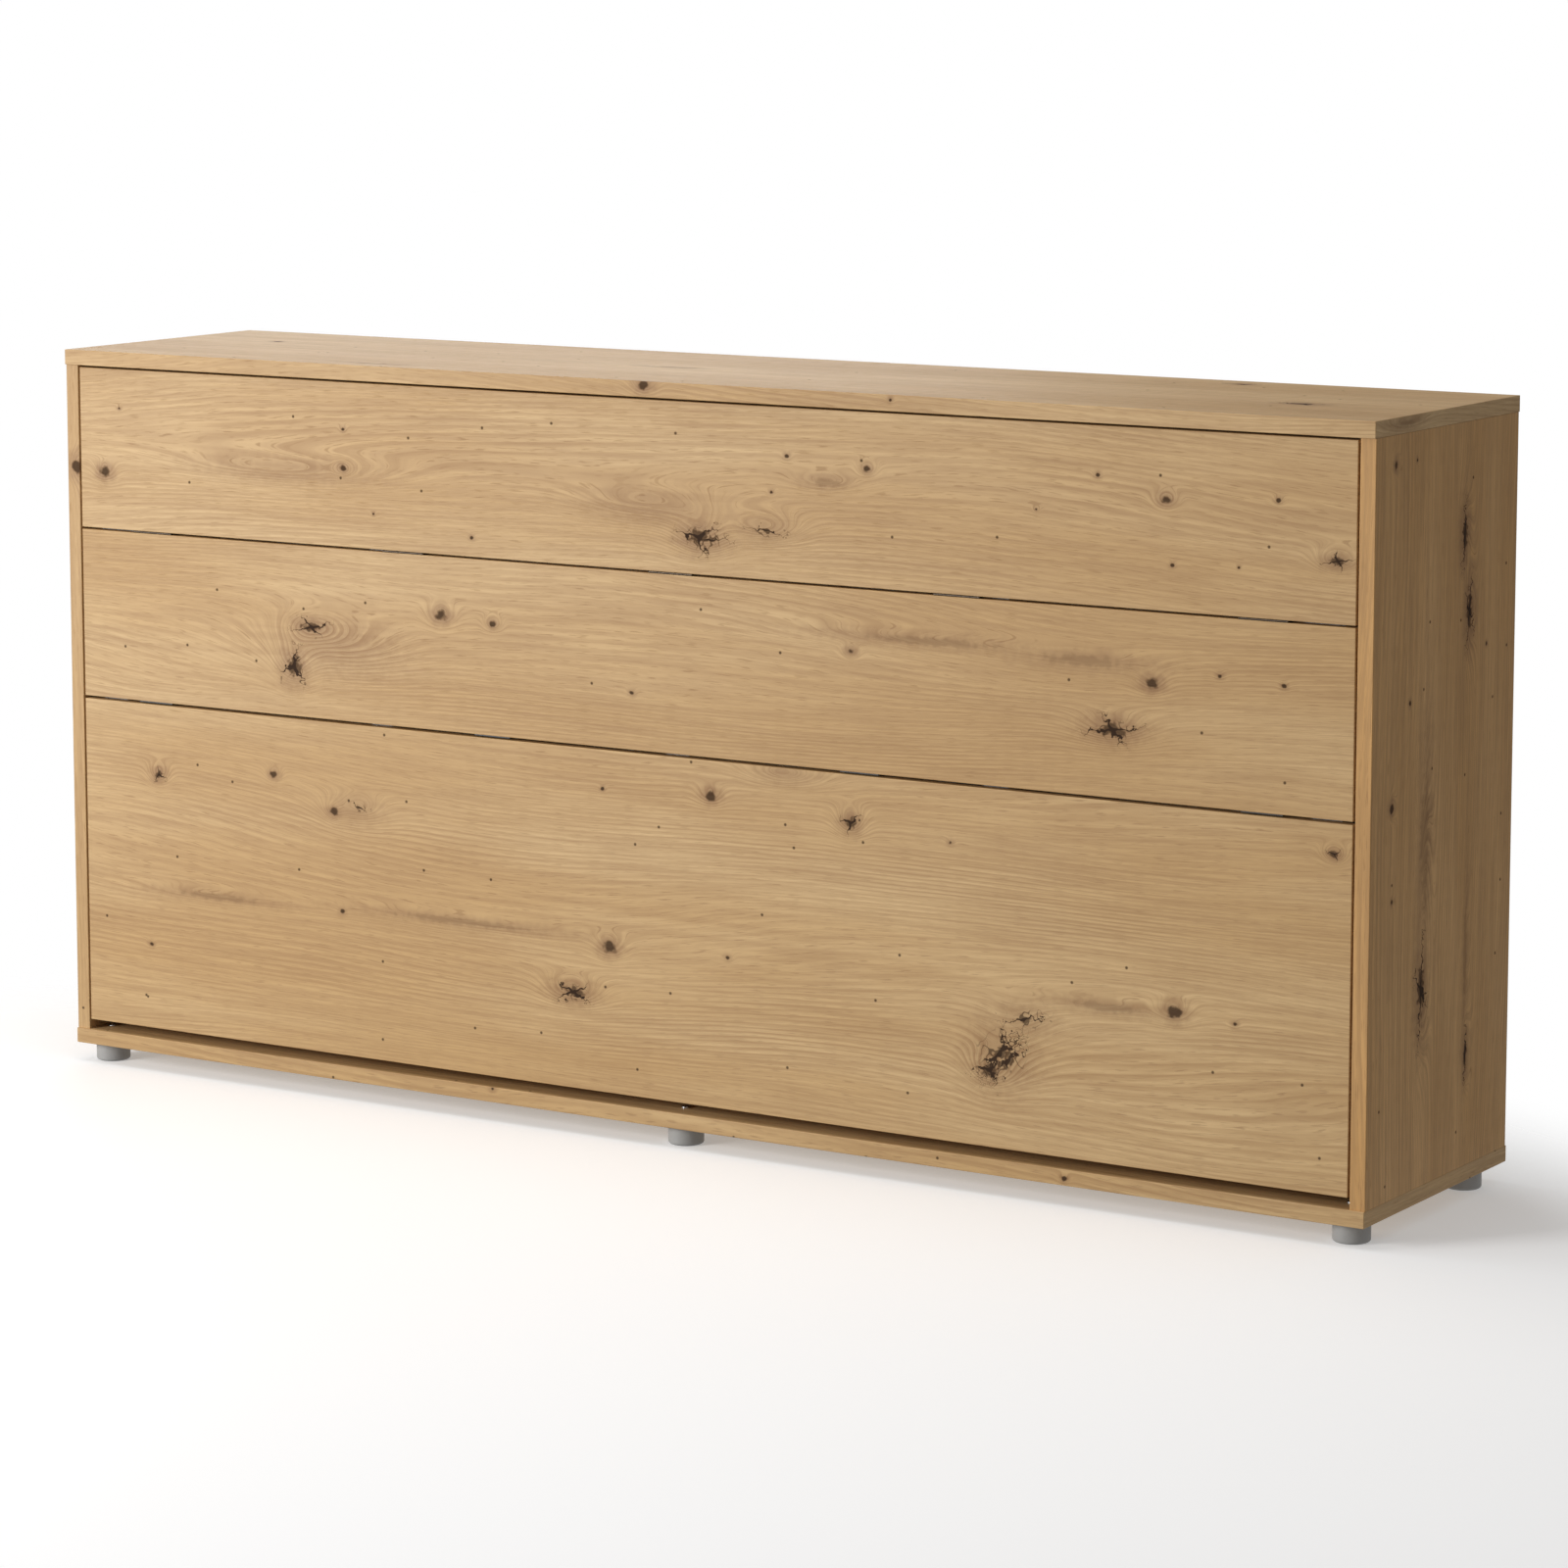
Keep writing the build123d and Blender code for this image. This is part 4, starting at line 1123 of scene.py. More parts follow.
@dataclass
class Cabinet:
    """The fixed cabinet: boards, back, feet and fittings.

    Attributes:
        top_knots, bottom_knots, right_knots, left_knots: The knots of the boards named.
        right_painted_fill_pale, right_painted_fill_warm: The right side board's two lighter colours,
        painted light that brightens its shaded face.
    """

    top_knots: tuple[Knot, ...] = (
        eye(-0.04, 0.836, 0.016), pin(0.35, 0.834, 0.007), crack(0.87, 1.01, 0.05, 0.022),
        swirl(-0.67, 1.29, 0.07, 0.02), streak(-0.52, 0.88, 0.09, 0.012),
        streak(-0.13, 1.05, 0.07, 0.012), crack(0.67, 1.23, 0.03, 0.014), eye(-0.88, 1.12, 0.012),
    )
    bottom_knots: tuple[Knot, ...] = (pin(-0.3, -0.17), pin(0.62, -0.18), eye(0.45, 0.05))
    right_knots: tuple[Knot, ...] = (
        crack(0.89, 1.107, 0.06, 0.022, 2, 3), crack(0.79, 1.125, 0.07, 0.022, 4, 8),
        crack(0.31, 0.995, 0.10, 0.028, 4, 4), swirl(0.40, 0.995, 0.14, 0.024),
        crack(0.2, 1.135, 0.05, 0.016, 2, 4), streak(0.33, 1.13, 0.16, 0.012),
        eye(0.562, 0.90, 0.012), eye(1.0, 0.898, 0.010), streak(0.5, 1.0, 0.2, 0.03),
        pin(0.69, 0.95), pin(0.44, 0.905, 0.008), pin(0.74, 1.18, 0.007), pin(1.0, 0.96, 0.006),
    )
    left_knots: tuple[Knot, ...] = (
        eye(0.889, -1.254, 0.02), crack(0.62, -1.0, 0.07, 0.02), crack(0.28, -1.12, 0.05, 0.016),
        swirl(0.36, -1.12, 0.12, 0.022), pin(0.47, -0.93), pin(0.8, -1.15),
        streak(0.8, -0.95, 0.2, 0.02),
    )
    # Painted light: lighter oak colours for the right side board, which lies in shade.
    right_painted_fill_pale: Colour = (0.77, 0.455, 0.185)
    right_painted_fill_warm: Colour = (0.63, 0.345, 0.118)

    def dress_boards(self) -> None:
        """Give each board its own sheet of oak."""
        dress(Oak("oak_top", start=(1.7, 4.1), knots=self.top_knots).make(), "top_board")
        dress(Oak("oak_bottom", start=(5.2, 0.7), knots=self.bottom_knots).make(), "bottom_board")
        # The right side board takes lighter colours, painted light on its shaded face.
        right = Oak(
            "oak_right_side", Grain.UPRIGHT, (9.4, 2.2), self.right_knots, self.right_painted_fill_pale,
            self.right_painted_fill_warm,
        )
        left = Oak("oak_left_side", Grain.UPRIGHT, (6.1, 8.8), self.left_knots)
        dress(right.make(), "right_side_board")
        dress(left.make(), "left_side_board")
        dress(Oak("oak_wall_rail", start=(8.0, 5.5)).make(), "wall_rail")

    def dress_back(self) -> None:
        """Finish the back panel's halves and the strip that joins them."""
        dress(BACK_BOARD.make(), "back_panel_left", "back_panel_right")
        dress(WHITE_NYLON.make(), "back_panel_strip")

    def dress_fittings(self) -> None:
        """Finish the feet and the metal fittings."""
        rows, places = ("front", "rear"), ("left", "middle", "right")
        dress(FOOT_PLASTIC.make(), *(f"foot_{row}_{place}" for row in rows for place in places))
        uses = ("pivot", "spring", "stop")
        brackets = [f"{side}_{use}_bracket" for side in SIDES for use in uses]
        small = ("cam_locks", "foot_screws", "spring_clips", "bracket_screws")
        dress(ZINC_STEEL.make(), *small, *brackets)
        dress(BLACK_RUBBER.make(), "stop_pads")


@dataclass
class FrontBoards:
    """The three front boards; the middle one is the leg.

    Attributes:
        upper, middle, lower: The knots of each board.
    """

    upper: tuple[Knot, ...] = (
        crack(0.048, 0.636, 0.048, 0.032, 3, 168), check(0.066, 0.633, 0.045, 0.024, 4),
        swirl(0.152, 0.655, 0.058, 0.022), check(0.155, 0.652, 0.045, 0.02, -8),
        eye(-0.986, 0.667, 0.017), eye(-0.552, 0.697, 0.011), eye(0.313, 0.744, 0.010),
        eye(0.76, 0.729, 0.012), crack(1.004, 0.665, 0.03, 0.016, 4, 10), pin(0.188, 0.754, 0.008),
        pin(-0.552, 0.752, 0.007), streak(0.25, 0.722, 0.05, 0.014), pin(0.163, 0.704, 0.006),
        swirl(-0.03, 0.672, 0.13, 0.03), swirl(-0.66, 0.69, 0.19, 0.024), pin(0.66, 0.755, 0.008),
        pin(0.92, 0.737, 0.008), pin(0.77, 0.645, 0.007), pin(0.57, 0.705, 0.005),
        pin(0.865, 0.648, 0.005), pin(-0.957, 0.762, 0.006), pin(-0.33, 0.612, 0.008),
        pin(-0.5, 0.635, 0.005),
    )
    middle: tuple[Knot, ...] = (
        crack(-0.644, 0.407, 0.036, 0.04, 3, 75), crack(-0.611, 0.466, 0.05, 0.02, 4, 12),
        eye(-0.384, 0.499, 0.018), eye(-0.295, 0.493, 0.010), eye(0.741, 0.49, 0.018),
        crack(0.685, 0.425, 0.058, 0.026, 4, 8), eye(0.288, 0.498, 0.010), pin(-0.063, 0.415),
        streak(0.41, 0.52, 0.22, 0.014), streak(0.64, 0.512, 0.14, 0.018), pin(0.84, 0.507),
        pin(0.931, 0.501), swirl(-0.57, 0.44, 0.13, 0.05),
    )
    lower: tuple[Knot, ...] = (
        crack(-0.894, 0.229, 0.02, 0.018, 3, 100), eye(-0.682, 0.248, 0.012),
        swirl(-0.54, 0.21, 0.06, 0.026), check(-0.53, 0.213, 0.026, 0.014, -20),
        eye(-0.575, 0.203, 0.014), eye(0.065, 0.283, 0.016), crack(0.288, 0.266, 0.024, 0.022),
        eye(-0.102, 0.055, 0.02), crack(-0.163, -0.014, 0.05, 0.024, 4, 28), pin(0.092, 0.062),
        pin(-0.913, -0.024), pin(-0.562, 0.06, 0.011), crack(0.505, -0.046, 0.034, 0.028, 3, 48),
        check(0.52, -0.022, 0.07, 0.066, 50), check(0.533, -0.03, 0.055, 0.05, 48),
        check(0.557, 0.029, 0.055, 0.03, 16), eye(0.779, 0.063, 0.02), pin(0.867, 0.057),
        crack(1.005, 0.292, 0.016, 0.012), streak(-0.79, 0.058, 0.16, 0.012),
        streak(-0.36, 0.066, 0.26, 0.012), swirl(0.183, 0.323, 0.06, 0.018),
        pin(-0.112, 0.277, 0.007), pin(0.443, 0.254, 0.008), streak(0.68, 0.058, 0.12, 0.014),
    )

    def dress(self) -> None:
        """Give each front board its own sheet of oak."""
        dress(Oak("oak_upper_front", start=(2.3, 1.2), knots=self.upper).make(), "upper_front_board")
        dress(Oak("oak_leg", start=(4.6, 3.9), knots=self.middle).make(), "leg_board")
        dress(Oak("oak_lower_front", start=(7.7, 6.3), knots=self.lower).make(), "lower_front_board")


@dataclass
class BedFrame:
    """The steel frame that turns, with its slats and rail boards.

    Attributes:
        tubes: The nodes that are painted.
    """

    tubes: tuple[str, ...] = (
        "lower_rail_tube", "upper_rail_tube", "left_end_tube", "left_cross_tube", "middle_cross_tube",
        "right_cross_tube", "right_end_tube", "left_end_plate", "right_end_plate", "leg_stop_lugs",
    )

    def dress(self) -> None:
        """Finish the frame."""
        dress(FRAME_PAINT.make(), *self.tubes)
        dress(ZINC_STEEL.make(), "front_screws", *(f"{side}_spring_stud" for side in SIDES))
        dress(WHITE_NYLON.make(), *(f"{side}_pivot_bush" for side in SIDES))
        dress(BLACK_RUBBER.make(), "slat_caps")
        dress(BIRCH.make(), "slats")
        rails = Oak("oak_rail_boards", start=(0.4, 9.3))
        dress(rails.make(), "lower_rail_board", "upper_rail_board")


@dataclass
class LegFittings:
    """The leg's hinges, straps, glides and magnets."""

    def dress(self) -> None:
        """Finish the leg's fittings."""
        dress(BRONZED_STEEL.make(), "hinge_bed_leaves", "hinge_leg_leaves", "hinge_pins")
        dress(FRAME_PAINT.make(), "leg_straps")
        # Painted shade: the glides are dressed black so that the seam between the leg and the lower
        # board reads as a dark gap.
        dress(BLACK_NYLON_AND_SEAM_SHADE.make(), "leg_glides")
        dress(ZINC_STEEL.make(), "leg_magnets")


@dataclass
class GasSprings:
    """The two gas springs."""

    def dress(self) -> None:
        """Finish the cylinders and their rods."""
        dress(SPRING_BLACK.make(), *(f"{side}_spring_cylinder" for side in SIDES))
        dress(CHROME_ROD.make(), *(f"{side}_spring_rod" for side in SIDES))


@dataclass(frozen=True)
class Filling:
    """How the mattress's cover is filled by cloth simulation.

    Attributes:
        quality: The simulation's steps in a frame.
        mass: The cloth's mass at each point, in kilograms.
        stiffness: Its stiffness against being pulled or pushed.
        bending: Its stiffness against bending.
        pressure: The pressure that fills it.
        frames: How many frames it swells for.
        most: How far a point may move.
    """

    quality: int = 4
    mass: float = 0.4
    stiffness: float = 22.0
    bending: float = 4.0
    pressure: float = 4.0
    frames: int = 20
    most: float = 0.022


@dataclass
class Mattress:
    """The mattress: quilted ticking, a mesh border, two piped edges and four handles.

    Attributes:
        inset: How much smaller than its space it starts, before it swells.
        corner: Its edge radius.
        voxel: The remesh's cell.
        filling: How it swells.
        panels: The number of quilted squares along it and across it.
        channel: The quilting channels' depth.
        channel_width: Their half width.
        channel_share, crown_share: How much of the depth is channel, and how much crowned square.
        rib_pitch: The pitch of the border's upright ribs.
        rib_depth: The depth between those ribs.
        piping_inset: How far each piping lies from the mattress's wide face.
        piping_radius: The piping's radius.
        piping_cuts: How finely the piping's line is divided.
        handle_size: A handle's length, width and thickness.
        handle_rise: How far a handle stands off in its middle.
        handle_x: Where the handles are, either side of the middle.
        handle_sewn: The part of a handle's length that lies flat at each end.
        handle_steps: How finely a handle is divided.
        low, high: The corners of its space.
        body: Its quilted body.
    """

    inset: float = 0.004
    corner: float = 0.026
    voxel: float = 0.0145
    filling: Filling = Filling()
    panels: tuple[int, int] = (16, 7)
    channel: float = 0.008
    channel_width: float = 0.011
    channel_share: float = 0.72
    crown_share: float = 0.28
    rib_pitch: float = 0.05
    rib_depth: float = 0.002
    piping_inset: float = 0.019
    piping_radius: float = 0.0045
    piping_cuts: int = 11
    handle_size: tuple[float, float, float] = (0.17, 0.026, 0.0016)
    handle_rise: float = 0.006
    handle_x: float = 0.28
    handle_sewn: float = 0.14
    handle_steps: int = 14
    low: Vector = field(init=False)
    high: Vector = field(init=False)
    body: bpy.types.Object = field(init=False)

    def build(self) -> None:
        """Build the mattress and all that is sewn on it."""
        self.low, self.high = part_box("mattress")
        self.body = self.filled()
        self.quilt()
        smooth(self.body, 60)
        self.cover()
        self.pipe("front", self.low.y + self.piping_inset)
        self.pipe("rear", self.high.y - self.piping_inset)
        self.handles()

    def filled(self) -> bpy.types.Object:
        """Make the mattress's body, swollen by the pressure inside it.

        Returns:
            The body, not yet quilted.
        """
        gap = Vector((self.inset,) * 3)
        piece = block("mattress_body", self.low + gap, self.high - gap)
        round_edges(piece, self.corner, 4)
        apply_modifier(piece, "REMESH", mode="VOXEL", voxel_size=self.voxel)
        self.swell(piece)
        apply_modifier(piece, "SUBSURF", levels=1, render_levels=1)
        return piece

    def swell(self, piece: bpy.types.Object) -> None:
        """Fill the piece by cloth simulation and hold each point near its start.

        Args:
            piece: The remeshed body.
        """
        start = [vertex.co.copy() for vertex in piece.data.vertices]
        pick(piece)
        cloth = piece.modifiers.new("cloth", "CLOTH")
        settings = cloth.settings
        filling = self.filling
        settings.quality = filling.quality
        settings.mass = filling.mass
        settings.tension_stiffness = settings.compression_stiffness = filling.stiffness
        settings.bending_stiffness = filling.bending
        settings.use_pressure = True
        settings.uniform_pressure_force = filling.pressure
        settings.effector_weights.gravity = 0
        for number in range(1, filling.frames + 1):
            bpy.context.scene.frame_set(number)
        bpy.ops.object.modifier_apply(modifier=cloth.name)
        bpy.context.scene.frame_set(1)
        for vertex, origin in zip(piece.data.vertices, start):
            move = vertex.co - origin
            if move.length > filling.most:
                vertex.co = origin + move.normalized() * filling.most

    def quilt(self) -> None:
        """Press the quilting into the wide faces and ribs into the border, inside the space."""
        size = self.high - self.low
        pitch_x, pitch_z = size.x / self.panels[0], size.z / self.panels[1]
        middle = (self.low + self.high) / 2
        for vertex in self.body.data.vertices:
            spot = vertex.co
            for axis in range(3):
                spot[axis] = min(max(spot[axis], self.low[axis]), self.high[axis])
            from_face = size.y / 2 - abs(spot.y - middle.y)
            side = 1 if spot.y > middle.y else -1
            end = min(spot.x - self.low.x, self.high.x - spot.x)
            edge = min(end, spot.z - self.low.z, self.high.z - spot.z)
            if edge > self.piping_inset and from_face < self.corner:
                off_x = (spot.x - self.low.x) % pitch_x
                off_z = (spot.z - self.low.z) % pitch_z
                off_x, off_z = min(off_x, pitch_x - off_x), min(off_z, pitch_z - off_z)
                press = exp(-((min(off_x, off_z) / self.channel_width) ** 2))
                crown = 1 - sin(pi * off_x / pitch_x) * sin(pi * off_z / pitch_z)
                ease = min(1.0, (edge - self.piping_inset) / self.corner)
                depth = self.channel_share * press + self.crown_share * crown
                spot.y -= side * ease * self.channel * depth
            elif from_face > self.piping_inset:
                wave = 0.5 - 0.5 * cos(2 * pi * (spot.x + spot.z) / self.rib_pitch)
                at_end = end < edge + 1e-6
                inward = (middle.x - spot.x, 0, 0) if at_end else (0, 0, middle.z - spot.z)
                vertex.co = spot + Vector(inward).normalized() * self.rib_depth * wave

    def cover(self) -> None:
        """Put ticking on the wide faces and mesh cloth on the border."""
        mesh = self.body.data
        mesh.materials.append(TICKING.make())
        mesh.materials.append(BORDER_MESH.make())
        middle = (self.low.y + self.high.y) / 2
        reach = (self.high.y - self.low.y) / 2 - self.piping_inset
        for face in mesh.polygons:
            face.material_index = 1 if abs(face.center.y - middle) < reach else 0
        settle(self.body, mesh.materials[0], "bed")
        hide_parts("mattress")

    def pipe(self, where: str, level: float) -> None:
        """Sew a piping round the mattress.

        Args:
            where: The end of the piece's name.
            level: The Y that it lies at.
        """
        size, middle = self.high - self.low, (self.low + self.high) / 2
        deselect()
        place, turn = (middle.x, level, middle.z), (pi / 2, 0, 0)
        bpy.ops.mesh.primitive_plane_add(size=1, location=place, rotation=turn)
        ring = bpy.context.object
        ring.name = ring.data.name = f"mattress_piping_{where}"
        ring.scale = (size.x, size.z, 1)
        bpy.ops.object.transform_apply(location=True, rotation=True, scale=True)
        bpy.ops.object.mode_set(mode="EDIT")
        bpy.ops.mesh.select_all(action="SELECT")
        bpy.ops.mesh.bevel(offset=self.corner, segments=6, affect="VERTICES")
        bpy.ops.mesh.delete(type="ONLY_FACE")
        bpy.ops.mesh.select_all(action="SELECT")
        bpy.ops.mesh.subdivide(number_cuts=self.piping_cuts)
        bpy.ops.object.mode_set(mode="OBJECT")
        apply_modifier(ring, "SHRINKWRAP", target=self.body, wrap_method="NEAREST_SURFACEPOINT")
        for vertex in ring.data.vertices:
            vertex.co.y = level
        pick(ring)
        bpy.ops.object.convert(target="CURVE")
        ring.data.bevel_depth = self.piping_radius
        ring.data.bevel_resolution = 2
        ring.data.dimensions = "3D"
        bpy.ops.object.convert(target="MESH")
        smooth(ring, 60)
        settle(ring, PIPING.make(), "bed")

    def handles(self) -> None:
        """Sew four webbing handles on the long sides."""
        length, width, thickness = self.handle_size
        level = (self.low.y + self.high.y) / 2
        sewn = self.handle_sewn
        path = []
        for i in range(self.handle_steps + 1):
            part = i / self.handle_steps
            loose = min(1.0, max(0.0, (min(part, 1 - part) - sewn) / (0.5 - sewn)))
            rise = self.handle_rise * sin(pi / 2 * loose)
            path.append(Vector((0.0, (part - 0.5) * length, rise)))
        first = strip("mattress_handle_1", path, width, thickness)
        lie = Matrix.Rotation(-pi / 2, 4, "Z")
        side = (self.high.z - self.low.z) / 2 - self.rib_depth / 2
        middle_z = (self.low.z + self.high.z) / 2
        finish = WEBBING.make()
        first.data.materials.append(finish)
        number = 0
        for turn in (0, pi):
            for x in (-self.handle_x, self.handle_x):
                number += 1
                place = Matrix.Translation((x, level, middle_z)) @ Matrix.Rotation(turn, 4, "X")
                change = place @ Matrix.Translation((0, 0, side)) @ lie
                twin = copy_of(first, f"mattress_handle_{number}_webbing", change)
                settle(twin, finish, "bed")
        bpy.data.objects.remove(first)


@dataclass
class MattressStraps:
    """The two webbing straps that hold the mattress, each with a buckle.

    Attributes:
        thickness: The webbing's thickness.
        turn: The radius that a strap follows round the mattress's edges.
        tab_turn: The radius at its fixed ends.
        gap: How far its middle line stays off the mattress's long edges, in half thicknesses.
        run_steps: How finely its run over the mattress is divided.
        stitch_length: The length of the sewn double layer beside the buckle.
        stitch_inset: How much narrower that layer is.
        buckle_size: A buckle's width, thickness and height.
        bar: The width of the buckle's frame.
        buckle_edge: The rounding of its edges.
    """

    thickness: float = 0.0018
    turn: float = 0.024
    tab_turn: float = 0.006
    gap: float = 2.2
    run_steps: int = 24
    stitch_length: float = 0.07
    stitch_inset: float = 0.0008
    buckle_size: tuple[float, float, float] = (0.052, 0.006, 0.040)
    bar: float = 0.006
    buckle_edge: float = 0.0012

    def build(self) -> None:
        """Build both straps and their buckles."""
        finish, plastic = WEBBING.make(), BLACK_NYLON_AND_SEAM_SHADE.make()
        buckle = self.buckle()
        buckle.data.materials.append(plastic)
        for side in SIDES:
            low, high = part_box(f"{side}_mattress_strap")
            path, width = self.route(low, high), high.x - low.x
            strap = strip(f"{side}_strap_webbing", path, width, self.thickness)
            settle(strap, finish, "bed")
            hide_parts(f"{side}_mattress_strap")
            self.double_layer(side, low, high)
            x = (low.x + high.x) / 2
            place = Matrix.Translation((x, high.y, (low.z + high.z) / 2))
            twin = copy_of(buckle, f"{side}_strap_buckle", place)
            settle(twin, plastic, "bed")
        bpy.data.objects.remove(buckle)

    def route(self, low: Vector, high: Vector) -> list[Vector]:
        """Return a strap's middle line, from the lower rail board to the upper one.

        Args:
            low: The lowest corner of the strap's space.
            high: Its highest corner.

        Returns:
            The points.
        """
        mattress_low, mattress_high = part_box("mattress")
        half = self.thickness / 2
        x, rear = (low.x + high.x) / 2, high.y - half
        fixed = low.y + half
        under, over = mattress_low.z - half * self.gap, mattress_high.z + half * self.gap
        tab, turn = self.tab_turn, self.turn
        points = [Vector((x, fixed, low.z + half / 2))]
        points += bend((x, fixed + tab, under - tab), 90, tab, 4)[::-1]
        points += bend((x, rear - turn, under + turn), 270, turn)
        bottom, top = points[-1].z, over - turn
        for i in range(1, self.run_steps):
            points.append(Vector((x, rear, bottom + (top - bottom) * i / self.run_steps)))
        points += bend((x, rear - turn, over - turn), 0, turn)
        points += bend((x, fixed + tab, over + tab), 180, tab, 4)[::-1]
        points += [Vector((x, fixed, high.z - half / 2))]
        return self.without_repeats(points)

    def without_repeats(self, points: list[Vector]) -> list[Vector]:
        """Leave out points that repeat the one before.

        Args:
            points: A strap's points.

        Returns:
            The points with none twice in a row.
        """
        kept = [points[0]]
        for point in points[1:]:
            if (point - kept[-1]).length > 1e-4:
                kept.append(point)
        return kept

    def double_layer(self, side: str, low: Vector, high: Vector) -> None:
        """Add the sewn-back end that holds the buckle.

        Args:
            side: The strap's side.
            low: The lowest corner of the strap's space.
            high: Its highest corner.
        """
        x, y = (low.x + high.x) / 2, high.y + self.thickness * 0.4
        start = (low.z + high.z) / 2 + self.buckle_size[2] / 2
        steps = 5
        path = [Vector((x, y, start + self.stitch_length * i / steps)) for i in range(steps + 1)]
        width = high.x - low.x - self.stitch_inset
        layer = strip(f"{side}_strap_end", path, width, self.thickness)
        settle(layer, WEBBING.make(), "bed")

    def buckle(self) -> bpy.types.Object:
        """Make a slide buckle about the origin, with two slots and a rounded frame.

        Returns:
            The buckle, which is copied for each strap.
        """
        width, depth, height = self.buckle_size
        corner = Vector(self.buckle_size) / 2
        piece = block("buckle", -corner, corner)
        window = height / 2 - 1.5 * self.bar
        for side in (-1, 1):
            middle = side * (window / 2 + self.bar / 2)
            low = (self.bar - width / 2, -depth, middle - window / 2)
            high = (width / 2 - self.bar, depth, middle + window / 2)
            hole = block("slot", low, high)
            apply_modifier(piece, "BOOLEAN", object=hole, operation="DIFFERENCE", solver="EXACT")
            bpy.data.objects.remove(hole)
        apply_modifier(piece, "BEVEL", width=self.buckle_edge, segments=3, limit_method="ANGLE")
        smooth(piece)
        return piece


@dataclass(frozen=True)
class Lamp:
    """A soft square lamp.

    Attributes:
        name: Its name.
        at: Its place.
        to: What it points at.
        size: Its side.
        power: Its power in watts.
        only_gloss: Whether it shows only in glossy surfaces.
    """

    name: str
    at: Place
    to: Place
    size: float
    power: float
    only_gloss: bool = False

    def hang(self) -> None:
        """Hang the lamp."""
        data = bpy.data.lights.new(f"{self.name}_lamp", "AREA")
        data.size = self.size
        data.energy = self.power
        lamp = bpy.data.objects.new(f"{self.name}_lamp", data)
        lamp.location = self.at
        aim = Vector(self.to) - Vector(self.at)
        lamp.rotation_euler = aim.to_track_quat("-Z", "Y").to_euler()
        lamp.visible_diffuse = not self.only_gloss
        bpy.context.scene.collection.objects.link(lamp)


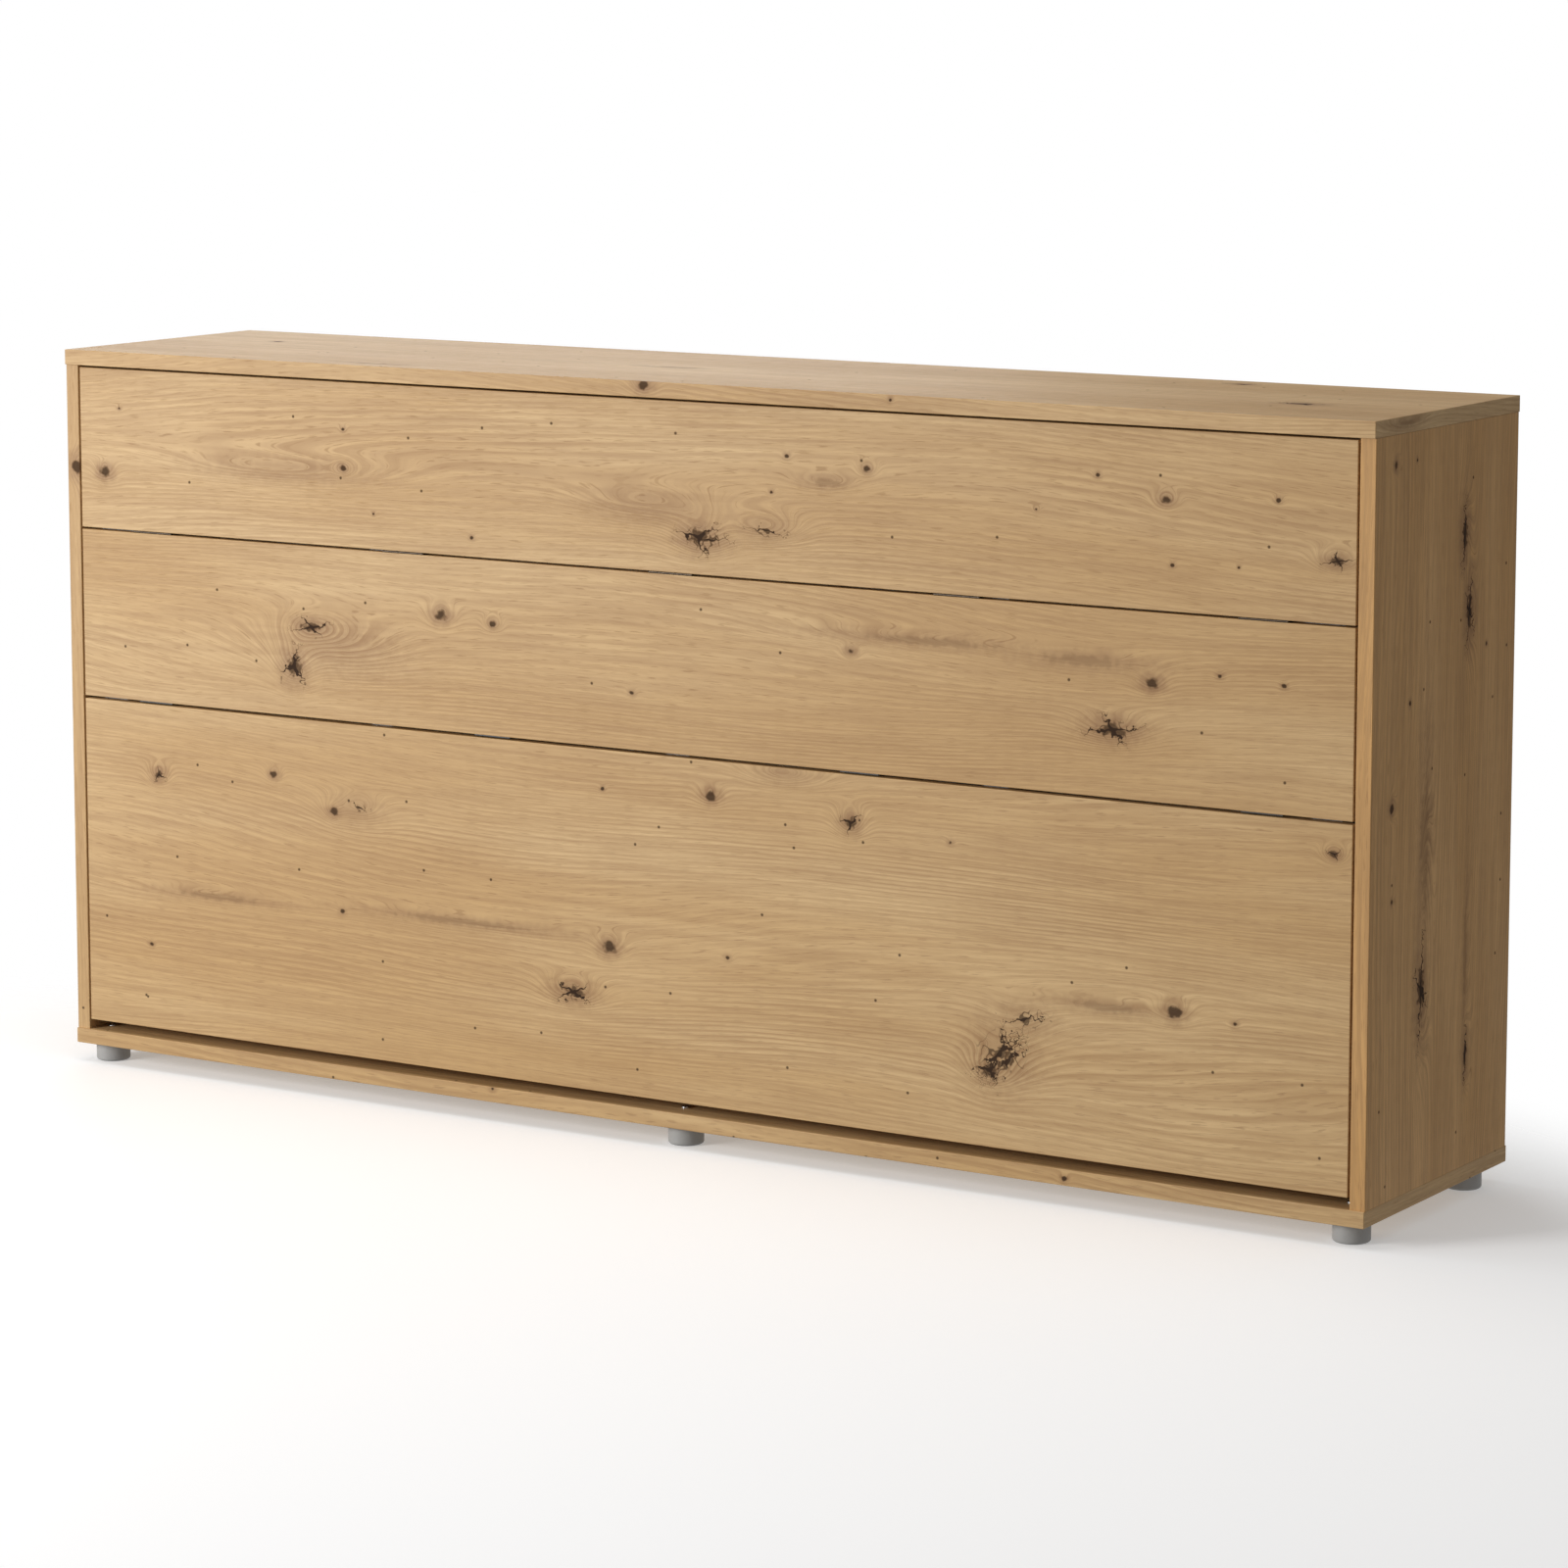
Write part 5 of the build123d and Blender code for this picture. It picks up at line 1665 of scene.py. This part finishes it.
@dataclass
class Studio:
    """Floor, lights and camera.

    Attributes:
        floor_radius: The floor's radius.
        fade_centre: The middle of the part of the floor that shows.
        fade: The distances from there between which the floor fades into the backdrop.
        floor_pale, floor_grey: The floor's two colours.
        floor_glow: How much light the floor gives off itself.
        fill: The strength of the soft light from all round.
        lamps: The lamps.
        camera_at: The camera's place.
        turn: The camera's angle round the cabinet, in degrees.
        tilt: How far the camera looks down, in degrees.
        lens: Its focal length in millimetres.
        rise: Its vertical shift.
    """

    floor_radius: float = 3.8
    fade_centre: tuple[float, float] = (0.0, -1.4)
    fade: Span = (1.85, 2.28)
    floor_pale: Colour = (0.90, 0.90, 0.90)
    floor_grey: Colour = (0.87, 0.87, 0.875)
    floor_glow: float = 0.27
    fill: float = 0.285
    lamps: tuple[Lamp, ...] = (
        Lamp("key", (-3.4, -4.9, 1.8), (0.0, -0.1, 0.3), 2.2, 255.0),
        Lamp("sky", (-0.6, -0.6, 3.8), (0.0, 0.0, 0.0), 2.6, 48.0),
        Lamp("haze", (-5.0, -4.4, 0.4), (-0.6, -0.2, 0.6), 3.0, 120.0, only_gloss=True),
        Lamp("rear", (-3.6, 4.2, 1.9), (0.2, 0.0, 1.0), 3.0, 60.0),
    )
    camera_at: Place = (3.84, -6.04, 1.663)
    turn: float = 32.12
    tilt: float = 7.66
    lens: float = 118.7
    rise: float = -0.1

    def build(self) -> None:
        """Build the whole studio."""
        self.floor()
        self.backdrop()
        for lamp in self.lamps:
            lamp.hang()
        self.camera()

    def floor(self) -> None:
        """Lay a pale round floor that fades out far from the bed."""
        deselect()
        bpy.ops.mesh.primitive_circle_add(vertices=96, radius=self.floor_radius, fill_type="NGON")
        ground = bpy.context.object
        ground.name = "studio_floor"
        material, g, shader = new_material("studio_floor")
        place = g.add("ShaderNodeTexCoord").outputs["Object"]
        far = g.vector("LENGTH", g.vector("SUBTRACT", place, (*self.fade_centre, 0.0)))
        cloud = g.noise(place, 1.3, 3.0)
        colour = g.tint(g.math("MULTIPLY", cloud, 0.3), self.floor_pale, self.floor_grey)
        g.feed(shader.inputs["Base Color"], colour)
        g.feed(shader.inputs["Roughness"], g.spread(cloud, 0.2, 0.8, 0.75, 0.9))
        g.feed(shader.inputs["Alpha"], g.spread(far, *self.fade, 1.0, 0.0))
        shader.inputs["Specular IOR Level"].default_value = 0.1
        shader.inputs["Emission Color"].default_value = (1, 1, 1, 1)
        shader.inputs["Emission Strength"].default_value = self.floor_glow
        ground.data.materials.append(material)
        ground.visible_diffuse = False

    def backdrop(self) -> None:
        """Surround the studio with soft white light, brighter where the camera sees it itself."""
        world = bpy.data.worlds.new("studio")
        world.use_nodes = True
        world.node_tree.nodes.clear()
        g = Graph(world.node_tree)
        seen = g.add("ShaderNodeLightPath").outputs["Is Camera Ray"]
        glow = g.add("ShaderNodeBackground", {"Color": (1, 1, 1), "Strength": self.fill})
        white = g.add("ShaderNodeBackground", {"Color": (1, 1, 1), "Strength": 1.0})
        both = g.add("ShaderNodeMixShader", {0: seen, 1: glow.outputs[0], 2: white.outputs[0]})
        output = g.add("ShaderNodeOutputWorld")
        g.feed(output.inputs["Surface"], both.outputs[0])
        bpy.context.scene.world = world
        bpy.context.scene.view_settings.view_transform = "Standard"

    def camera(self) -> None:
        """Set up the camera."""
        data = bpy.data.cameras.new("camera")
        data.lens = self.lens
        data.shift_y = self.rise
        data.clip_end = 100.0
        camera = bpy.data.objects.new("camera", data)
        camera.location = self.camera_at
        camera.rotation_euler = (radians(90 - self.tilt), 0, radians(self.turn))
        bpy.context.scene.collection.objects.link(camera)
        bpy.context.scene.camera = camera


def main() -> None:
    """Build and dress every sub-assembly in order."""
    logging.basicConfig(level=logging.INFO, format="%(name)s: %(message)s")
    Studio().build()
    log.info("studio: floor, lamps and camera")
    cabinet = Cabinet()
    cabinet.dress_boards()
    cabinet.dress_back()
    cabinet.dress_fittings()
    log.info("cabinet: boards, back, feet and fittings")
    FrontBoards().dress()
    log.info("front boards: upper, leg and lower")
    BedFrame().dress()
    log.info("bed frame: tubes, plates, slats and rail boards")
    LegFittings().dress()
    GasSprings().dress()
    log.info("leg fittings and gas springs")
    Mattress().build()
    log.info("mattress: body, pipings and handles")
    MattressStraps().build()
    log.info("mattress straps: webbing, sewn ends and buckles")


if __name__ == "__main__":
    main()
